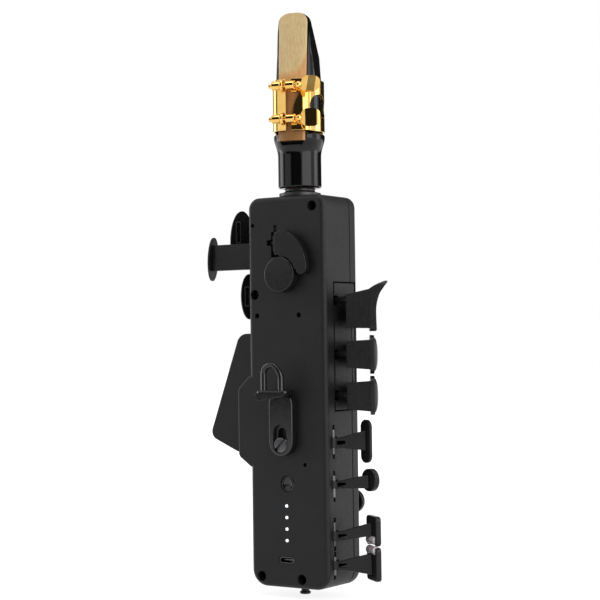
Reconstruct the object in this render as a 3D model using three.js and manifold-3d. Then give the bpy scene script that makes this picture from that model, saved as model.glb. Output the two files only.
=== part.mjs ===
// A digital wind controller: a slim electronic casing with saxophone style keys, a mouthpiece
// and reed on a corked neck, a thumb rest, an octave key and a sliding thumb hook with a strap ring.
// Millimetres, +Z up. X runs to the player's right, Y runs from the player to the front of the
// instrument. The origin is the centre of the strap ring's eye.

import * as THREE from 'three';
import { mergeVertices } from 'three/addons/utils/BufferGeometryUtils.js';
import Module from 'manifold-3d';

const wasm = await Module();
wasm.setup();

// Clearances shared by every piece
const seatGap = 0.3;
const runGap = 0.3;
const overrun = 2;

// Roundness of turned and bent shapes
const turnSteps = 16;
const finePinSteps = 10;
const driveSides = 6;
const curveSteps = 4;
const bevelSteps = 2;

// Casing
const casingWidth = 47;
const casingDepth = 31;
const casingHeight = 198;
const casingWall = 2.2;
const backShellDepth = 24;
const casingTopRadius = 6;
const casingBottomRadius = 8.5;
const casingEdgeRound = 2.6;
const bumpWidth = 7.6;
const bumpDepth = 18.6;
const bumpTopShare = 0.5419;
const bumpBottomShare = 0.3045;
const bumpTopSlope = 7;
const bumpBottomSlope = 5.4;
const bumpCornerRadius = 1.5;

// Case screws, each at the bottom of a deep round well in the back
const screwWellRadius = 2.6;
const screwPillarRadius = 3.8;
const screwHeadRadius = 2;
const screwHeadHeight = 1.6;
const screwShankRadius = 1.2;
const screwBite = 5;
const screwFloor = 2;
const driveSocketRadius = 0.9;
const driveSocketDepth = 0.9;
const caseScrews = [
  { name: 'case_screw_top', acrossShares: { x: 0.3468 }, upShares: { z: 0.9707 } },
  { name: 'case_screw_bottom_left', acrossShares: { x: -0.3617 }, upShares: { z: 0.0258 } },
  { name: 'case_screw_bottom_right', acrossShares: { x: 0.1596 }, upShares: { z: 0.0242 } },
].map(sized);
const bedScrewInset = 4.1;
const bedScrew = sized({
  name: 'case_screw_left', x: bedScrewInset - casingWidth / 2, upShares: { z: 0.749 },
});

// Pin holes in the back
const finePinHoleRadius = 1.05;
const widePinHoleRadius = 1.35;
const pinHoles = [
  { radius: finePinHoleRadius, acrossShares: { x: -0.4298 }, upShares: { z: 0.9283 } },
  { radius: widePinHoleRadius, acrossShares: { x: -0.383 }, upShares: { z: 0.6945 } },
  { radius: widePinHoleRadius, acrossShares: { x: 0.1617 }, upShares: { z: 0.6945 } },
  { radius: finePinHoleRadius, acrossShares: { x: 0.217 }, upShares: { z: 0.3146 } },
].map(sized);

// Electronics
const boardSideClearance = 1.2;
const boardThickness = 1.6;
const boardBottomShare = 0.0475;
const boardTopShare = 0.9394;
const boardStandOff = 4;
const standOffRadius = 2.2;
const standOffSpacing = 22;
const standOffHeightShares = [0.1111, 0.6263];
const switchRise = 0.6;
const switchSize = 5;
const chipSize = 9;
const chipHeight = 1.1;
const chipCentreShare = 0.596;
const batteryWidth = 30;
const batteryDepth = 7.5;
const batteryHeight = 44;
const batteryCentreShare = 0.4242;
const batteryRadius = 2;
const sensorSize = 11;
const sensorDepth = 8.4;
const sensorHeight = 8;
const breathTubeRadius = 3.4;
const breathTubeBore = 2;

// Power button, lights and charging socket on the back
const buttonX = -0.5;
const buttonHeightShare = 0.2646;
const buttonRadius = 3.9;
const buttonFlange = 0.7;
const buttonFlangeThickness = 0.8;
const buttonDish = 0.9;
const buttonStemRadius = 1.6;
const buttonTravel = 0.6;
const lightX = -1.3;
const lightTopShare = 0.2086;
const lightPitch = 5.8;
const lightCount = 4;
const lightRadius = 0.75;
const lightBarThickness = 1.2;
const lightBarMargin = 2;
const socketX = -1.7;
const socketHeightShare = 0.0707;
const socketWidth = 8.9;
const socketHeight = 3.3;
const socketWall = 0.4;
const socketTongueWidth = 6.2;
const socketTongueHeight = 0.7;
const socketFloor = 0.8;
const socketTongueSetBack = 0.8;

// Neck, cork and breath path
const neckY = -1.3;
const neckFlangeRadius = 10.7;
const neckFlangeHeight = 3;
const neckConeRadius = 7.6;
const neckConeHeight = 0.8;
const neckTubeRadius = 6;
const neckBore = 4;
const neckSpigotRadius = 6.9;
const neckSpigotDepth = 5;
const neckTubeLength = 19.9;
const corkThickness = 1.7;
const corkMargin = 1;

// Drain plug under the base
const plugRadius = 2.75;
const plugNeckRadius = 2;
const plugDrop = 3.6;
const plugHeadHeight = 1.3;
const plugBossRadius = 6.5;
const plugBossHeight = 0.8;

// Mouthpiece, in its own frame with the reed facing -Y
const mouthpieceTurn = THREE.MathUtils.degToRad(13.85);
const mouthpieceLength = 90;
const shankRadius = 11.1;
const shankLength = 18.6;
const shoulderWaistRadius = 11.7;
const shoulderWaistRise = 22;
const shoulderRadius = 13.1;
const shoulderRise = 25;
const shoulderTopRise = 27.1;
const barrelRadius = 11.9;
const barrelRise = 28.4;
const shankRimRound = 1.2;
const shankBore = 8.3;
const shankBoreDepth = 24.6;
const chamberRadius = 5.4;
const chamberDepth = 64;
const beakStartRise = 49.6;
const beakStartY = 12.6;
const beakTipThickness = 1.5;
const tipWidth = 16.4;
const midWidth = 23.1;
const midWidthRise = 56.6;
const tableHeelRise = 21.6;
const tableHeelY = -10.9;
const tableTipY = -6.1;
const windowWidth = 10.5;
const windowRise = 47.6;
const windowTopRise = 82.6;

// Reed
const reedWidthTip = 15.6;
const reedWidthHeel = 14.2;
const reedHeelRise = 23.6;
const reedTipInset = 0.2;
const reedHeelThickness = 3;
const reedTipThickness = 0.5;
const reedVampRise = 55.6;
const reedTipRound = 5.5;

// Ligature
const bandInnerRadius = 12.3;
const bandThickness = 0.8;
const bandRise = 28.6;
const bandHeight = 26.2;
const bandFrontY = -14.6;
const bandFrontLeft = -8.1;
const bandFrontRight = 7;
const bandLeftTurn = THREE.MathUtils.degToRad(34);
const bandRightTurn = THREE.MathUtils.degToRad(30);
const bandSlotWidth = 3;
const bandSlotFrom = -1.6;
const bandSlotWindowRight = 6.1;
const bandSlotWindowBulge = 2.1;
const bandSlotWindowHalf = 5.4;
const bandWindowHalfHeight = 6.4;
const bandWindowHalf = 9;
const bandWindowDrop = 1.2;
const bandWindowTurn = THREE.MathUtils.degToRad(-12);
const ligatureScrewRise = 34;
const ligatureScrewPitch = 16.8;
const ligatureScrewY = -18.9;
const upperScrewTurn = THREE.MathUtils.degToRad(-24);
const lugRadius = 2.3;
const lugLeftFrom = -7.4;
const lugLeftTo = -2.9;
const lugRightFrom = 0;
const lugRightTo = 4.7;
const ligatureScrewRadius = 1.1;
const collarRadius = 3.1;
const collarThickness = 1.5;
const screwBallRadius = 1.8;
const paddleLength = 10.6;
const paddleHeight = 9.1;
const paddleThickness = 1.2;
const paddleCornerShare = 0.45;
const screwTailOut = 1.8;

// Thumb rest
const thumbRestX = -0.6;
const thumbRestHeightShare = 0.798;
const thumbRestRadius = 8.95;
const thumbRestHeight = 5.7;
const thumbRestRound = 0.4;

// Octave key, curled round the thumb rest
const octaveAxisX = -6.2;
const octaveAxisInset = 0.95;
const octaveAxleRadius = 0.8;
const octaveAxleRise = 10;
const octaveAxleLength = 14.8;
const octaveSlotEnd = 0.4;
const octaveKnuckleRadius = 1.7;
const octaveKnuckleRise = 12;
const octaveKnuckleLength = 8;
const octaveLift = 1.7;
const octaveThickness = 3.6;
const octaveNeckHalf = 1.1;
const octavePlateInset = 2.8;
const octaveNeckDrop = 0.5;
const octaveEdge = 0.6;
const octaveTipShare = 0.08;
const octaveTipOut = 13.2;
const octaveTipUp = 2.8;
const octaveTipRadius = 3.1;
const octaveShoulderUp = 13.5;
const octaveShoulderOut = 9;
const octaveCrownUp = 22.2;
const octaveCrownX = 1;
const octaveTailLength = 5.4;
const octaveTailHeight = 2.4;
const octaveTailThickness = 1.3;
const octaveTailRise = 16.9;
const octavePadDepth = 1.7;
const octavePadMargin = 2;

// Thumb hook with strap ring
const hookX = -1.4;
const hookBottomShare = 0.3364;
const hookLength = 32.8;
const hookWidth = 14.3;
const hookThickness = 4.4;
const hookSlotWidth = 8.5;
const hookSlotMargin = 1.3;
const hookSlotLength = 14.7;
const hookSlotSink = 1.8;
const hookThroughWidth = 5;
const hookScrewHeadRadius = 3.9;
const hookScrewHeadHeight = 1.5;
const hookScrewShankRadius = 2;
const hookScrewReach = 5.4;
const hookScrewSlotWidth = 1.1;
const hookScrewSlotDepth = 0.7;
const hookScrewSlotTurn = THREE.MathUtils.degToRad(-43);
const hookBossRadius = 4.4;
const shelfLeft = -10.6;
const shelfRight = 7.6;
const shelfRise = 0.45;
const shelfThickness = 2.6;
const shelfReach = 8.6;
const shelfLipThickness = 2.4;
const shelfLipDrop = 3;
const shelfLipRise = 2.8;
const shelfCornerRadius = 2.6;
const ringX = -1.5;
const ringWidth = 13.4;
const ringHeight = 14.1;
const ringLimb = 3;
const ringDepth = 3;
const ringSetBack = 6.2;
const ringShoulderDrop = 5;
const ringCrownLeft = 0.6;
const ringCrownRadius = 2.6;

// Side keys and palm keys: a block that swings on a rod at its front edge and carries a touch cap
const bedDepthFromBack = 8;
const bedDepthFromFront = 2.7;
const rightBedThickness = 4.5;
const leftBedThickness = 7;
const bedRecess = 0.3;
const rightBedBottomShare = 0.45;
const rightBedTopShare = 0.7768;
const leftBedBottomShare = 0.6768;
const leftBedTopShare = 0.9646;
const blockRodInset = 0.7;
const blockRodFromFront = 4.9;
const blockRodRadius = 0.8;
const blockRodEnd = 1.6;
const knuckleRadius = 1.8;
const knuckleLength = 9;
const neckHalfThickness = 1.2;
const blockNeck = 5;
const plungerTipRadius = 1.25;
const plungerBaseRadius = 2.5;
const plungerReach = 1;
const plungerHoleRadius = 2.7;
const plungerFromBack = 10.7;
const capRimThickness = 2.05;
const capBulge = 1.9;
const capCornerRadius = 3.2;

const sideCapTurn = THREE.MathUtils.degToRad(33.85);
const sideStandOff = 7.3;
const sideReachBack = 17.8;
const sideReachOut = 21.7;
const sideCapWidth = 14.4;
const sideKeys = [
  {
    name: 'side_key_high_e', horn: true,
    upShares: {
      low: 0.6596, high: 0.7439, flareLow: 0.002, flareHigh: 0.0136,
      capLow: 0.6505, capHigh: 0.7773, plungerZ: 0.7303, knuckleZ: 0.697,
    },
  },
  {
    name: 'side_key_c',
    upShares: {
      low: 0.5601, high: 0.6268, flareLow: 0.0061, flareHigh: 0.0025,
      capLow: 0.5434, capHigh: 0.6409, plungerZ: 0.5929, knuckleZ: 0.5929,
    },
  },
  {
    name: 'side_key_b_flat',
    upShares: {
      low: 0.4545, high: 0.5217, flareLow: 0.0051, flareHigh: 0.0051,
      capLow: 0.4404, capHigh: 0.5384, plungerZ: 0.4889, knuckleZ: 0.4889,
    },
  },
].map(sized);
const hornTipOut = 9;
const hornTipHalf = 0.9;
const hornWaist = 3.2;
const hornFoot = 3.4;
const hornWaistHeightShare = 0.7;
const hornBendHeightShare = 0.7455;
const hornBend = 5.1;
const hornCrotchShare = 1.3;

const palmRim = 1.2;
const palmBulge = 0.9;
const palmCapTurn = THREE.MathUtils.degToRad(30);
const palmDCapLean = THREE.MathUtils.degToRad(-3.4);
const palmDReachOut = 30.7;
const palmDReachBack = 18.5;
const palmDLegOut = 2.4;
const palmDCapWidth = 8.3;
const palmEFlatReachOut = 21.6;
const palmEFlatReachBack = 11;
const palmEFlatCapWidth = 13.7;
const palmEFlatArmInset = 2.2;
const palmFReachOut = 15.4;
const palmFReachBack = 10.6;
const palmFCapWidth = 9.6;
const palmFArmInset = 1.1;
const palmKeys = [
  {
    name: 'palm_key_d', reachOut: palmDReachOut, reachBack: palmDReachBack,
    legOut: palmDLegOut, capWidth: palmDCapWidth, turn: 0, lean: palmDCapLean,
    upShares: {
      low: 0.8182, high: 0.8874, capLow: 0.7919, capHigh: 0.9081,
      knuckleZ: 0.8525, plungerZ: 0.8525,
    },
  },
  {
    name: 'palm_key_e_flat', reachOut: palmEFlatReachOut, reachBack: palmEFlatReachBack,
    capWidth: palmEFlatCapWidth, armInset: palmEFlatArmInset, turn: palmCapTurn, lean: 0,
    upShares: {
      low: 0.8909, high: 0.9505, capLow: 0.8444, capHigh: 0.9788,
      widestZ: 0.8919, knuckleZ: 0.9212,
    },
  },
  {
    name: 'palm_key_f', reachOut: palmFReachOut, reachBack: palmFReachBack,
    capWidth: palmFCapWidth, armInset: palmFArmInset, turn: palmCapTurn, lean: 0,
    upShares: {
      low: 0.7217, high: 0.7763, capLow: 0.6879, capHigh: 0.8091,
      knuckleZ: 0.7455,
    },
  },
].map(sized);
const palmArmThickness = 3.2;
const palmLegThickness = 2.4;
const palmPocketWall = 0.7;
const palmPocketDepth = 5;
const palmLegBack = 16.4;

// Lower right keys: a flared arm on a pin near the back edge, with a touch plate at its end
const lowerPinFromBack = 6.3;
const lowerPinInset = 0.5;
const lowerPinRadius = 0.8;
const lowerKnuckleRadius = 1.9;
const lowerPocketRelief = 0.6;
const lowerPadThickness = 1.5;
const lowerPadHalf = 3.4;
const lowerSlotEnd = 0.8;
const lowerArmThickness = 2.6;
const lowerArmTurn = THREE.MathUtils.degToRad(32);
const lowerNotchLength = 4.4;
const lowerNotchHeight = 1.7;
const lowerNotchDepth = 1;
const lowerNotchFrom = 3.4;
const lowerFingerLength = 5;
const lowerFingerThickness = 1.6;
const lowerFingerHeight = 3;
const touchTurn = THREE.MathUtils.degToRad(-20);
const pinkyTouchTurn = THREE.MathUtils.degToRad(-38);
const touchEdgeShare = 0.2;
const highFSharpReach = 16.3;
const highFSharpWidth = 7.6;
const highFSharpThickness = 1.7;
const highFSharpCornerShare = 0.474;
const altFSharpReach = 17.5;
const altFSharpWidth = 11.3;
const altFSharpThickness = 3.2;
const altFSharpCornerShare = 0.47;
const pinkyReach = 18.6;
const pinkyWidth = 14;
const pinkyThickness = 2.9;
const pinkyCornerShare = 0.143;
const rollerMeetShare = 0.1126;
const lowerKeys = [
  {
    name: 'side_key_high_f_sharp',
    reach: highFSharpReach, plateWidth: highFSharpWidth, plateThickness: highFSharpThickness,
    cornerShare: highFSharpCornerShare, turn: touchTurn,
    upShares: {
      pinLow: 0.3313, pinHigh: 0.4136, rootLow: 0.3576, rootHigh: 0.3833,
      tipLow: 0.3505, tipHigh: 0.401, plateLow: 0.3187, plateHigh: 0.4278,
    },
  },
  {
    name: 'side_key_alt_f_sharp',
    reach: altFSharpReach, plateWidth: altFSharpWidth, plateThickness: altFSharpThickness,
    cornerShare: altFSharpCornerShare, turn: touchTurn,
    upShares: {
      pinLow: 0.2227, pinHigh: 0.298, rootLow: 0.2556, rootHigh: 0.2747,
      tipLow: 0.2551, tipHigh: 0.2894, plateLow: 0.247, plateHigh: 0.304,
    },
  },
  {
    name: 'pinky_key_e_flat',
    reach: pinkyReach, plateWidth: pinkyWidth, plateThickness: pinkyThickness,
    cornerShare: pinkyCornerShare, turn: pinkyTouchTurn, rollerSide: -1,
    upShares: {
      pinLow: 0.1, pinHigh: 0.1803, rootLow: 0.1242, rootHigh: 0.1475,
      tipLow: 0.1359, tipHigh: 0.1687, plateLow: 0.1111, plateHigh: 0.1859,
    },
  },
  {
    name: 'pinky_key_low_c',
    reach: pinkyReach, plateWidth: pinkyWidth, plateThickness: pinkyThickness,
    cornerShare: pinkyCornerShare, turn: pinkyTouchTurn, rollerSide: 1,
    upShares: {
      pinLow: 0.0273, pinHigh: 0.0939, rootLow: 0.0515, rootHigh: 0.0732,
      tipLow: 0.0384, tipHigh: 0.0924, plateLow: 0.0227, plateHigh: 0.1081,
    },
  },
].map(sized);
const rollerRadius = 2.3;
const rollerPinRadius = 0.5;
const rollerLug = 1.6;
const rollerInset = 0.4;
const rollerGap = 0.4;

// Left little finger table: a plate on the bump, and four touches on one rod
const tableThickness = 2.5;
const tableReach = 39.7;
const tableTopReachShare = 0.4962;
const tableFootReachShare = 0.529;
const tableTopHeightShare = 0.65;
const tableCornerHeightShare = 0.3758;
const tableFootHeightShare = 0.3338;
const tableCornerRadius = 4.2;
const tableRodOut = 2.9;
const tableRodFromFront = 4.2;
const tableRodRadius = 1.1;
const tableRodBottomShare = 0.3354;
const tableRodTopShare = 0.6424;
const tableLugHalf = 2.5;
const tableLugThickness = 3;
const tableBarrelRadius = 2.3;
const tableTouchThickness = 2.5;
const tableTouchGap = 1.2;
const tableTouchRadius = 2.6;
const tableTouchInset = 3.2;
const tableTouchEdgeShare = 0.2;
const tableArmHalf = 1;
const tableTouches = [
  { name: 'table_key_low_b_flat', reachShare: 0.8841, upShares: { low: 0.3556, high: 0.4162 } },
  { name: 'table_key_low_b', reachShare: 0.7834, upShares: { low: 0.4222, high: 0.4818 } },
  { name: 'table_key_low_c_sharp', reachShare: 0.6725, upShares: { low: 0.4879, high: 0.5475 } },
  { name: 'table_key_g_sharp', reachShare: 0.5516, upShares: { low: 0.5535, high: 0.6222 } },
].map(sized);

// Main stack keys on the front, on one long rod
const stackRodInset = 11.5;
const stackRodRise = 4.2;
const stackRodRadius = 1.1;
const stackRodBottomShare = 0.1515;
const stackRodTopShare = 0.9293;
const stackPostHalf = 2.3;
const stackPostThickness = 3;
const stackPostHeightShares = [0.1591, 0.5379, 0.9217];
const stackBarrelRadius = 2.2;
const stackBarrelLength = 9;
const stackArmHeight = 5;
const stackArmThickness = 2.2;
const stackTouchThickness = 2.6;
const stackTouchDish = 0.5;
const stackTouchRadius = 6.1;
const bisTouchRadius = 3.6;
const stackKeys = [
  {
    name: 'main_key_d', radius: stackTouchRadius,
    acrossShares: { reach: 0.5851 }, upShares: { z: 0.2096 },
  },
  {
    name: 'main_key_e', radius: stackTouchRadius,
    acrossShares: { reach: 0.4894 }, upShares: { z: 0.3333 },
  },
  {
    name: 'main_key_f', radius: stackTouchRadius,
    acrossShares: { reach: 0.4468 }, upShares: { z: 0.4571 },
  },
  {
    name: 'main_key_g', radius: stackTouchRadius,
    acrossShares: { reach: 0.3191 }, upShares: { z: 0.6263 },
  },
  {
    name: 'main_key_a', radius: stackTouchRadius,
    acrossShares: { reach: 0.3191 }, upShares: { z: 0.7424 },
  },
  {
    name: 'main_key_bis', radius: bisTouchRadius,
    acrossShares: { reach: 0.4149 }, upShares: { z: 0.8056 },
  },
  {
    name: 'main_key_b', radius: stackTouchRadius,
    acrossShares: { reach: 0.3191 }, upShares: { z: 0.8662 },
  },
].map(sized);

// Places worked out from the sizes above
const halfWidth = casingWidth / 2;
const backY = -casingDepth / 2;
const frontY = casingDepth / 2;
const seamY = backY + backShellDepth;
const innerBackY = backY + casingWall;
const boardBackY = innerBackY + boardStandOff;
const boardFrontY = boardBackY + boardThickness;
const bumpFrontY = backY + bumpDepth;
const bumpLeftX = -halfWidth - bumpWidth;
const bumpTop = bumpTopShare * casingHeight;
const bumpBottom = bumpBottomShare * casingHeight;
const boardBottom = boardBottomShare * casingHeight;
const boardTop = boardTopShare * casingHeight;
const chipCentreZ = chipCentreShare * casingHeight;
const batteryCentreZ = batteryCentreShare * casingHeight;
const buttonZ = buttonHeightShare * casingHeight;
const lightTopZ = lightTopShare * casingHeight;
const socketZ = socketHeightShare * casingHeight;
const thumbRestZ = thumbRestHeightShare * casingHeight;
const rightBedBottom = rightBedBottomShare * casingHeight;
const rightBedTop = rightBedTopShare * casingHeight;
const leftBedBottom = leftBedBottomShare * casingHeight;
const leftBedTop = leftBedTopShare * casingHeight;
const hornWaistZ = hornWaistHeightShare * casingHeight;
const hornBendZ = hornBendHeightShare * casingHeight;
const rollerMeetZ = rollerMeetShare * casingHeight;
const blockRodX = halfWidth - blockRodInset;
const blockRodY = frontY - blockRodFromFront;
const lowerPinX = halfWidth - lowerPinInset;
const lowerPinY = backY + lowerPinFromBack;
const octaveAxisY = backY + octaveAxisInset;
const octaveBottomY = backY - octaveLift;
const octaveTopY = octaveBottomY - octaveThickness;
const octaveAxleBottom = thumbRestZ + octaveAxleRise;
const octaveAxleTop = octaveAxleBottom + octaveAxleLength;
const octaveKnuckleBottom = thumbRestZ + octaveKnuckleRise;
const octaveKnuckleTop = octaveKnuckleBottom + octaveKnuckleLength;
const octaveTailZ = thumbRestZ + octaveTailRise;
const hookBackY = backY - seatGap;
const hookFaceY = hookBackY - hookThickness;
const hookBottom = hookBottomShare * casingHeight;
const hookTop = hookBottom + hookLength;
const hookSlotBottom = hookBottom + hookSlotMargin;
const hookSlotTop = hookSlotBottom + hookSlotLength;
const shelfTop = hookTop + shelfRise;
const ringY = hookFaceY - ringSetBack;
const ringEyeZ = shelfTop + (ringHeight - ringLimb) / 2;
const neckBaseZ = casingHeight + seatGap;
const neckConeTop = neckBaseZ + neckFlangeHeight + neckConeHeight;
const neckTubeTop = neckConeTop + neckTubeLength;
const mouthpieceBottom = neckConeTop + seatGap;
const mouthpieceTip = mouthpieceBottom + mouthpieceLength;
const tableHeelZ = mouthpieceBottom + tableHeelRise;
const windowBottom = mouthpieceBottom + windowRise;
const windowTop = mouthpieceBottom + windowTopRise;
const beakStartZ = mouthpieceBottom + beakStartRise;
const midWidthZ = mouthpieceBottom + midWidthRise;
const bandBottom = mouthpieceBottom + bandRise;
const bandTop = bandBottom + bandHeight;
const ligatureScrewZs = [0, ligatureScrewPitch].map((up) => mouthpieceBottom + ligatureScrewRise + up);
const tableRodX = -halfWidth - tableRodOut;
const tableRodY = frontY - tableRodFromFront;
const tableRodBottom = tableRodBottomShare * casingHeight;
const tableRodTop = tableRodTopShare * casingHeight;
const tableTouchInnerX = tableRodX - tableTouchInset;
const stackRodX = -stackRodInset;
const stackRodY = frontY + stackRodRise;
const stackRodBottom = stackRodBottomShare * casingHeight;
const stackRodTop = stackRodTopShare * casingHeight;
const stackPostZs = stackPostHeightShares.map((share) => share * casingHeight);

// A row with its shares of the casing's height and width worked out as sizes
function sized({ upShares = {}, acrossShares = {}, ...row }) {
  for (const [field, share] of Object.entries(upShares)) row[field] = share * casingHeight;
  for (const [field, share] of Object.entries(acrossShares)) row[field] = share * casingWidth;
  return row;
}

// Materials
function finish(color, roughness, metalness) {
  return new THREE.MeshStandardMaterial({ color, roughness, metalness, flatShading: true });
}
const casingBlack = finish(0x2b2b2b, 0.62, 0);
const keyBlack = finish(0x222222, 0.4, 0);
const hookBlack = finish(0x1c1c1c, 0.28, 0);
const mouthpieceBlack = finish(0x0c0c0d, 0.12, 0);
const collarGrey = finish(0x3a3a3a, 0.45, 0);
const corkTan = finish(0x8a6a44, 0.9, 0);
const reedCane = finish(0xd2b06c, 0.6, 0);
const gold = finish(0xe0a83a, 0.15, 1);
const steel = finish(0x9a9a9a, 0.3, 1);
const screwBlack = finish(0x26262a, 0.35, 1);
const pearl = finish(0xc9bcc0, 0.25, 0);
const boardGreen = finish(0x1f5a36, 0.6, 0);
const batterySilver = finish(0x8f9499, 0.5, 0);
const siliconeClear = finish(0xc8ccd0, 0.5, 0);
const lightWhite = finish(0xf4f6ff, 0.3, 0);

// A three.js geometry as a solid, turned right side out
function solidOf(geometry) {
  const plain = geometry.clone();
  plain.deleteAttribute('normal');
  plain.deleteAttribute('uv');
  const merged = mergeVertices(plain);
  const vertProperties = new Float32Array(merged.attributes.position.array);
  const triVerts = new Uint32Array(merged.index.array);
  if (signedVolume(vertProperties, triVerts) < 0) triVerts.reverse();
  return new wasm.Manifold(new wasm.Mesh({ numProp: 3, vertProperties, triVerts }));
}

function signedVolume(points, triangles) {
  const corner = (index) => new THREE.Vector3().fromArray(points, index * 3);
  let sum = 0;
  for (let t = 0; t < triangles.length; t += 3) {
    const [a, b, c] = [corner(triangles[t]), corner(triangles[t + 1]), corner(triangles[t + 2])];
    sum += a.dot(b.cross(c));
  }
  return sum;
}

function piece(name, solid, material) {
  const { vertProperties, triVerts } = solid.getMesh();
  const geometry = new THREE.BufferGeometry();
  geometry.setAttribute('position', new THREE.BufferAttribute(new Float32Array(vertProperties), 3));
  geometry.setIndex(new THREE.BufferAttribute(new Uint32Array(triVerts), 1));
  geometry.computeVertexNormals();
  const mesh = new THREE.Mesh(geometry, material);
  mesh.name = name;
  return mesh;
}

function joined(solids) {
  return solids.reduce((sum, next) => sum.add(next));
}

// Outlines
function roundedOutline(corners) {
  const shape = new THREE.Shape();
  corners.forEach(([x, y, radius = 0], index) => {
    const here = new THREE.Vector2(x, y);
    const [beforeX, beforeY] = corners[(index + corners.length - 1) % corners.length];
    const [afterX, afterY] = corners[(index + 1) % corners.length];
    const arrive = here.clone().add(new THREE.Vector2(beforeX - x, beforeY - y).setLength(radius));
    const leave = here.clone().add(new THREE.Vector2(afterX - x, afterY - y).setLength(radius));
    if (index === 0) shape.moveTo(arrive.x, arrive.y);
    else shape.lineTo(arrive.x, arrive.y);
    if (radius > 0) shape.quadraticCurveTo(here.x, here.y, leave.x, leave.y);
  });
  shape.closePath();
  return shape;
}

function rectangle(left, right, low, high, radius = 0) {
  return roundedOutline([
    [right, low, radius],
    [right, high, radius],
    [left, high, radius],
    [left, low, radius],
  ]);
}

function obround(centreX, width, low, high) {
  const radius = width / 2;
  const shape = new THREE.Shape();
  shape.absarc(centreX, high - radius, radius, 0, Math.PI, false);
  shape.absarc(centreX, low + radius, radius, Math.PI, 2 * Math.PI, false);
  shape.closePath();
  return shape;
}

function casingOutline(inset) {
  const side = halfWidth - inset;
  const topRadius = casingTopRadius - inset;
  const bottomRadius = casingBottomRadius - inset;
  return roundedOutline([
    [side, inset, bottomRadius],
    [side, casingHeight - inset, topRadius],
    [-side, casingHeight - inset, topRadius],
    [-side, inset, bottomRadius],
  ]);
}

function bumpOutline(inset) {
  const right = -halfWidth + casingWall + overrun;
  const left = bumpLeftX + inset;
  const top = bumpTop - inset;
  const bottom = bumpBottom + inset;
  return roundedOutline([
    [right, bottom],
    [right, top],
    [-halfWidth, top],
    [left, top - bumpTopSlope, bumpCornerRadius],
    [left, bottom + bumpBottomSlope, bumpCornerRadius],
    [-halfWidth, bottom],
  ]);
}

// Solids drawn as an outline and a depth, or turned
function extruded(shape, depth, edge = 0, curveSegments = curveSteps) {
  return new THREE.ExtrudeGeometry(shape, {
    depth: depth - 2 * edge,
    steps: 1,
    curveSegments,
    bevelEnabled: edge > 0,
    bevelThickness: edge,
    bevelSize: edge,
    bevelOffset: -edge,
    bevelSegments: bevelSteps,
  }).translate(0, 0, edge);
}

// An outline in X and Z, from one Y to a larger one
function alongY(shape, from, to, edge = 0) {
  return solidOf(extruded(shape, to - from, edge).rotateX(Math.PI / 2).translate(0, to, 0));
}

// An outline in Y and Z, from one X to a larger one
function alongX(shape, from, to, curveSegments = curveSteps) {
  const toX = new THREE.Matrix4().makeBasis(
    new THREE.Vector3(0, 1, 0),
    new THREE.Vector3(0, 0, 1),
    new THREE.Vector3(1, 0, 0),
  );
  const geometry = extruded(shape, to - from, 0, curveSegments);
  return solidOf(geometry.applyMatrix4(toX).translate(from, 0, 0));
}

// An outline in X and Y, from one Z to a larger one
function alongZ(shape, from, to, curveSegments = curveSteps) {
  return solidOf(extruded(shape, to - from, 0, curveSegments).translate(0, 0, from));
}

function block(xFrom, xTo, yFrom, yTo, zFrom, zTo) {
  const geometry = new THREE.BoxGeometry(xTo - xFrom, yTo - yFrom, zTo - zFrom);
  geometry.translate((xFrom + xTo) / 2, (yFrom + yTo) / 2, (zFrom + zTo) / 2);
  return solidOf(geometry);
}

function turned(profile, steps = turnSteps) {
  const points = profile.map(([radius, height]) => new THREE.Vector2(radius, height));
  return solidOf(new THREE.LatheGeometry(points, steps).rotateX(Math.PI / 2));
}

// A ring turned about Z at a place, closed on itself
function sleeve(x, y, inner, outer, low, high, steps = turnSteps) {
  const outside = rodZ(x, y, outer, low, high, steps);
  return outside.subtract(rodZ(x, y, inner, low - overrun, high + overrun, steps));
}

function rodZ(x, y, radius, low, high, steps = turnSteps, topRadius = radius) {
  const geometry = new THREE.CylinderGeometry(topRadius, radius, high - low, steps);
  return solidOf(geometry.rotateX(Math.PI / 2).translate(x, y, (low + high) / 2));
}

function rodY(x, z, radius, from, to, steps = turnSteps, endRadius = radius) {
  const geometry = new THREE.CylinderGeometry(endRadius, radius, to - from, steps);
  return solidOf(geometry.translate(x, (from + to) / 2, z));
}

function rodX(y, z, radius, from, to, steps = turnSteps, endRadius = radius) {
  const geometry = new THREE.CylinderGeometry(endRadius, radius, to - from, steps);
  return solidOf(geometry.rotateZ(-Math.PI / 2).translate((from + to) / 2, y, z));
}

function ball(x, y, z, radius, steps = finePinSteps) {
  return solidOf(new THREE.SphereGeometry(radius, steps, steps / 2).translate(x, y, z));
}

// Bed openings and the channels that the hinge rods lie in
function bedBox(side, thickness, low, high, margin) {
  const inner = side * (halfWidth - bedRecess - thickness - margin);
  const outer = side * (halfWidth - bedRecess + (margin > 0 ? overrun : 0));
  return block(
    Math.min(inner, outer),
    Math.max(inner, outer),
    backY + bedDepthFromBack - margin,
    frontY - bedDepthFromFront + margin,
    low - margin,
    high + margin,
  );
}

function rodChannel(side, x, y, radius, low, high) {
  const inner = side * (x - radius - runGap);
  const outer = side * (halfWidth + overrun);
  return block(
    Math.min(inner, outer),
    Math.max(inner, outer),
    y - radius - runGap,
    y + radius + runGap,
    low,
    high,
  );
}

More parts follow.
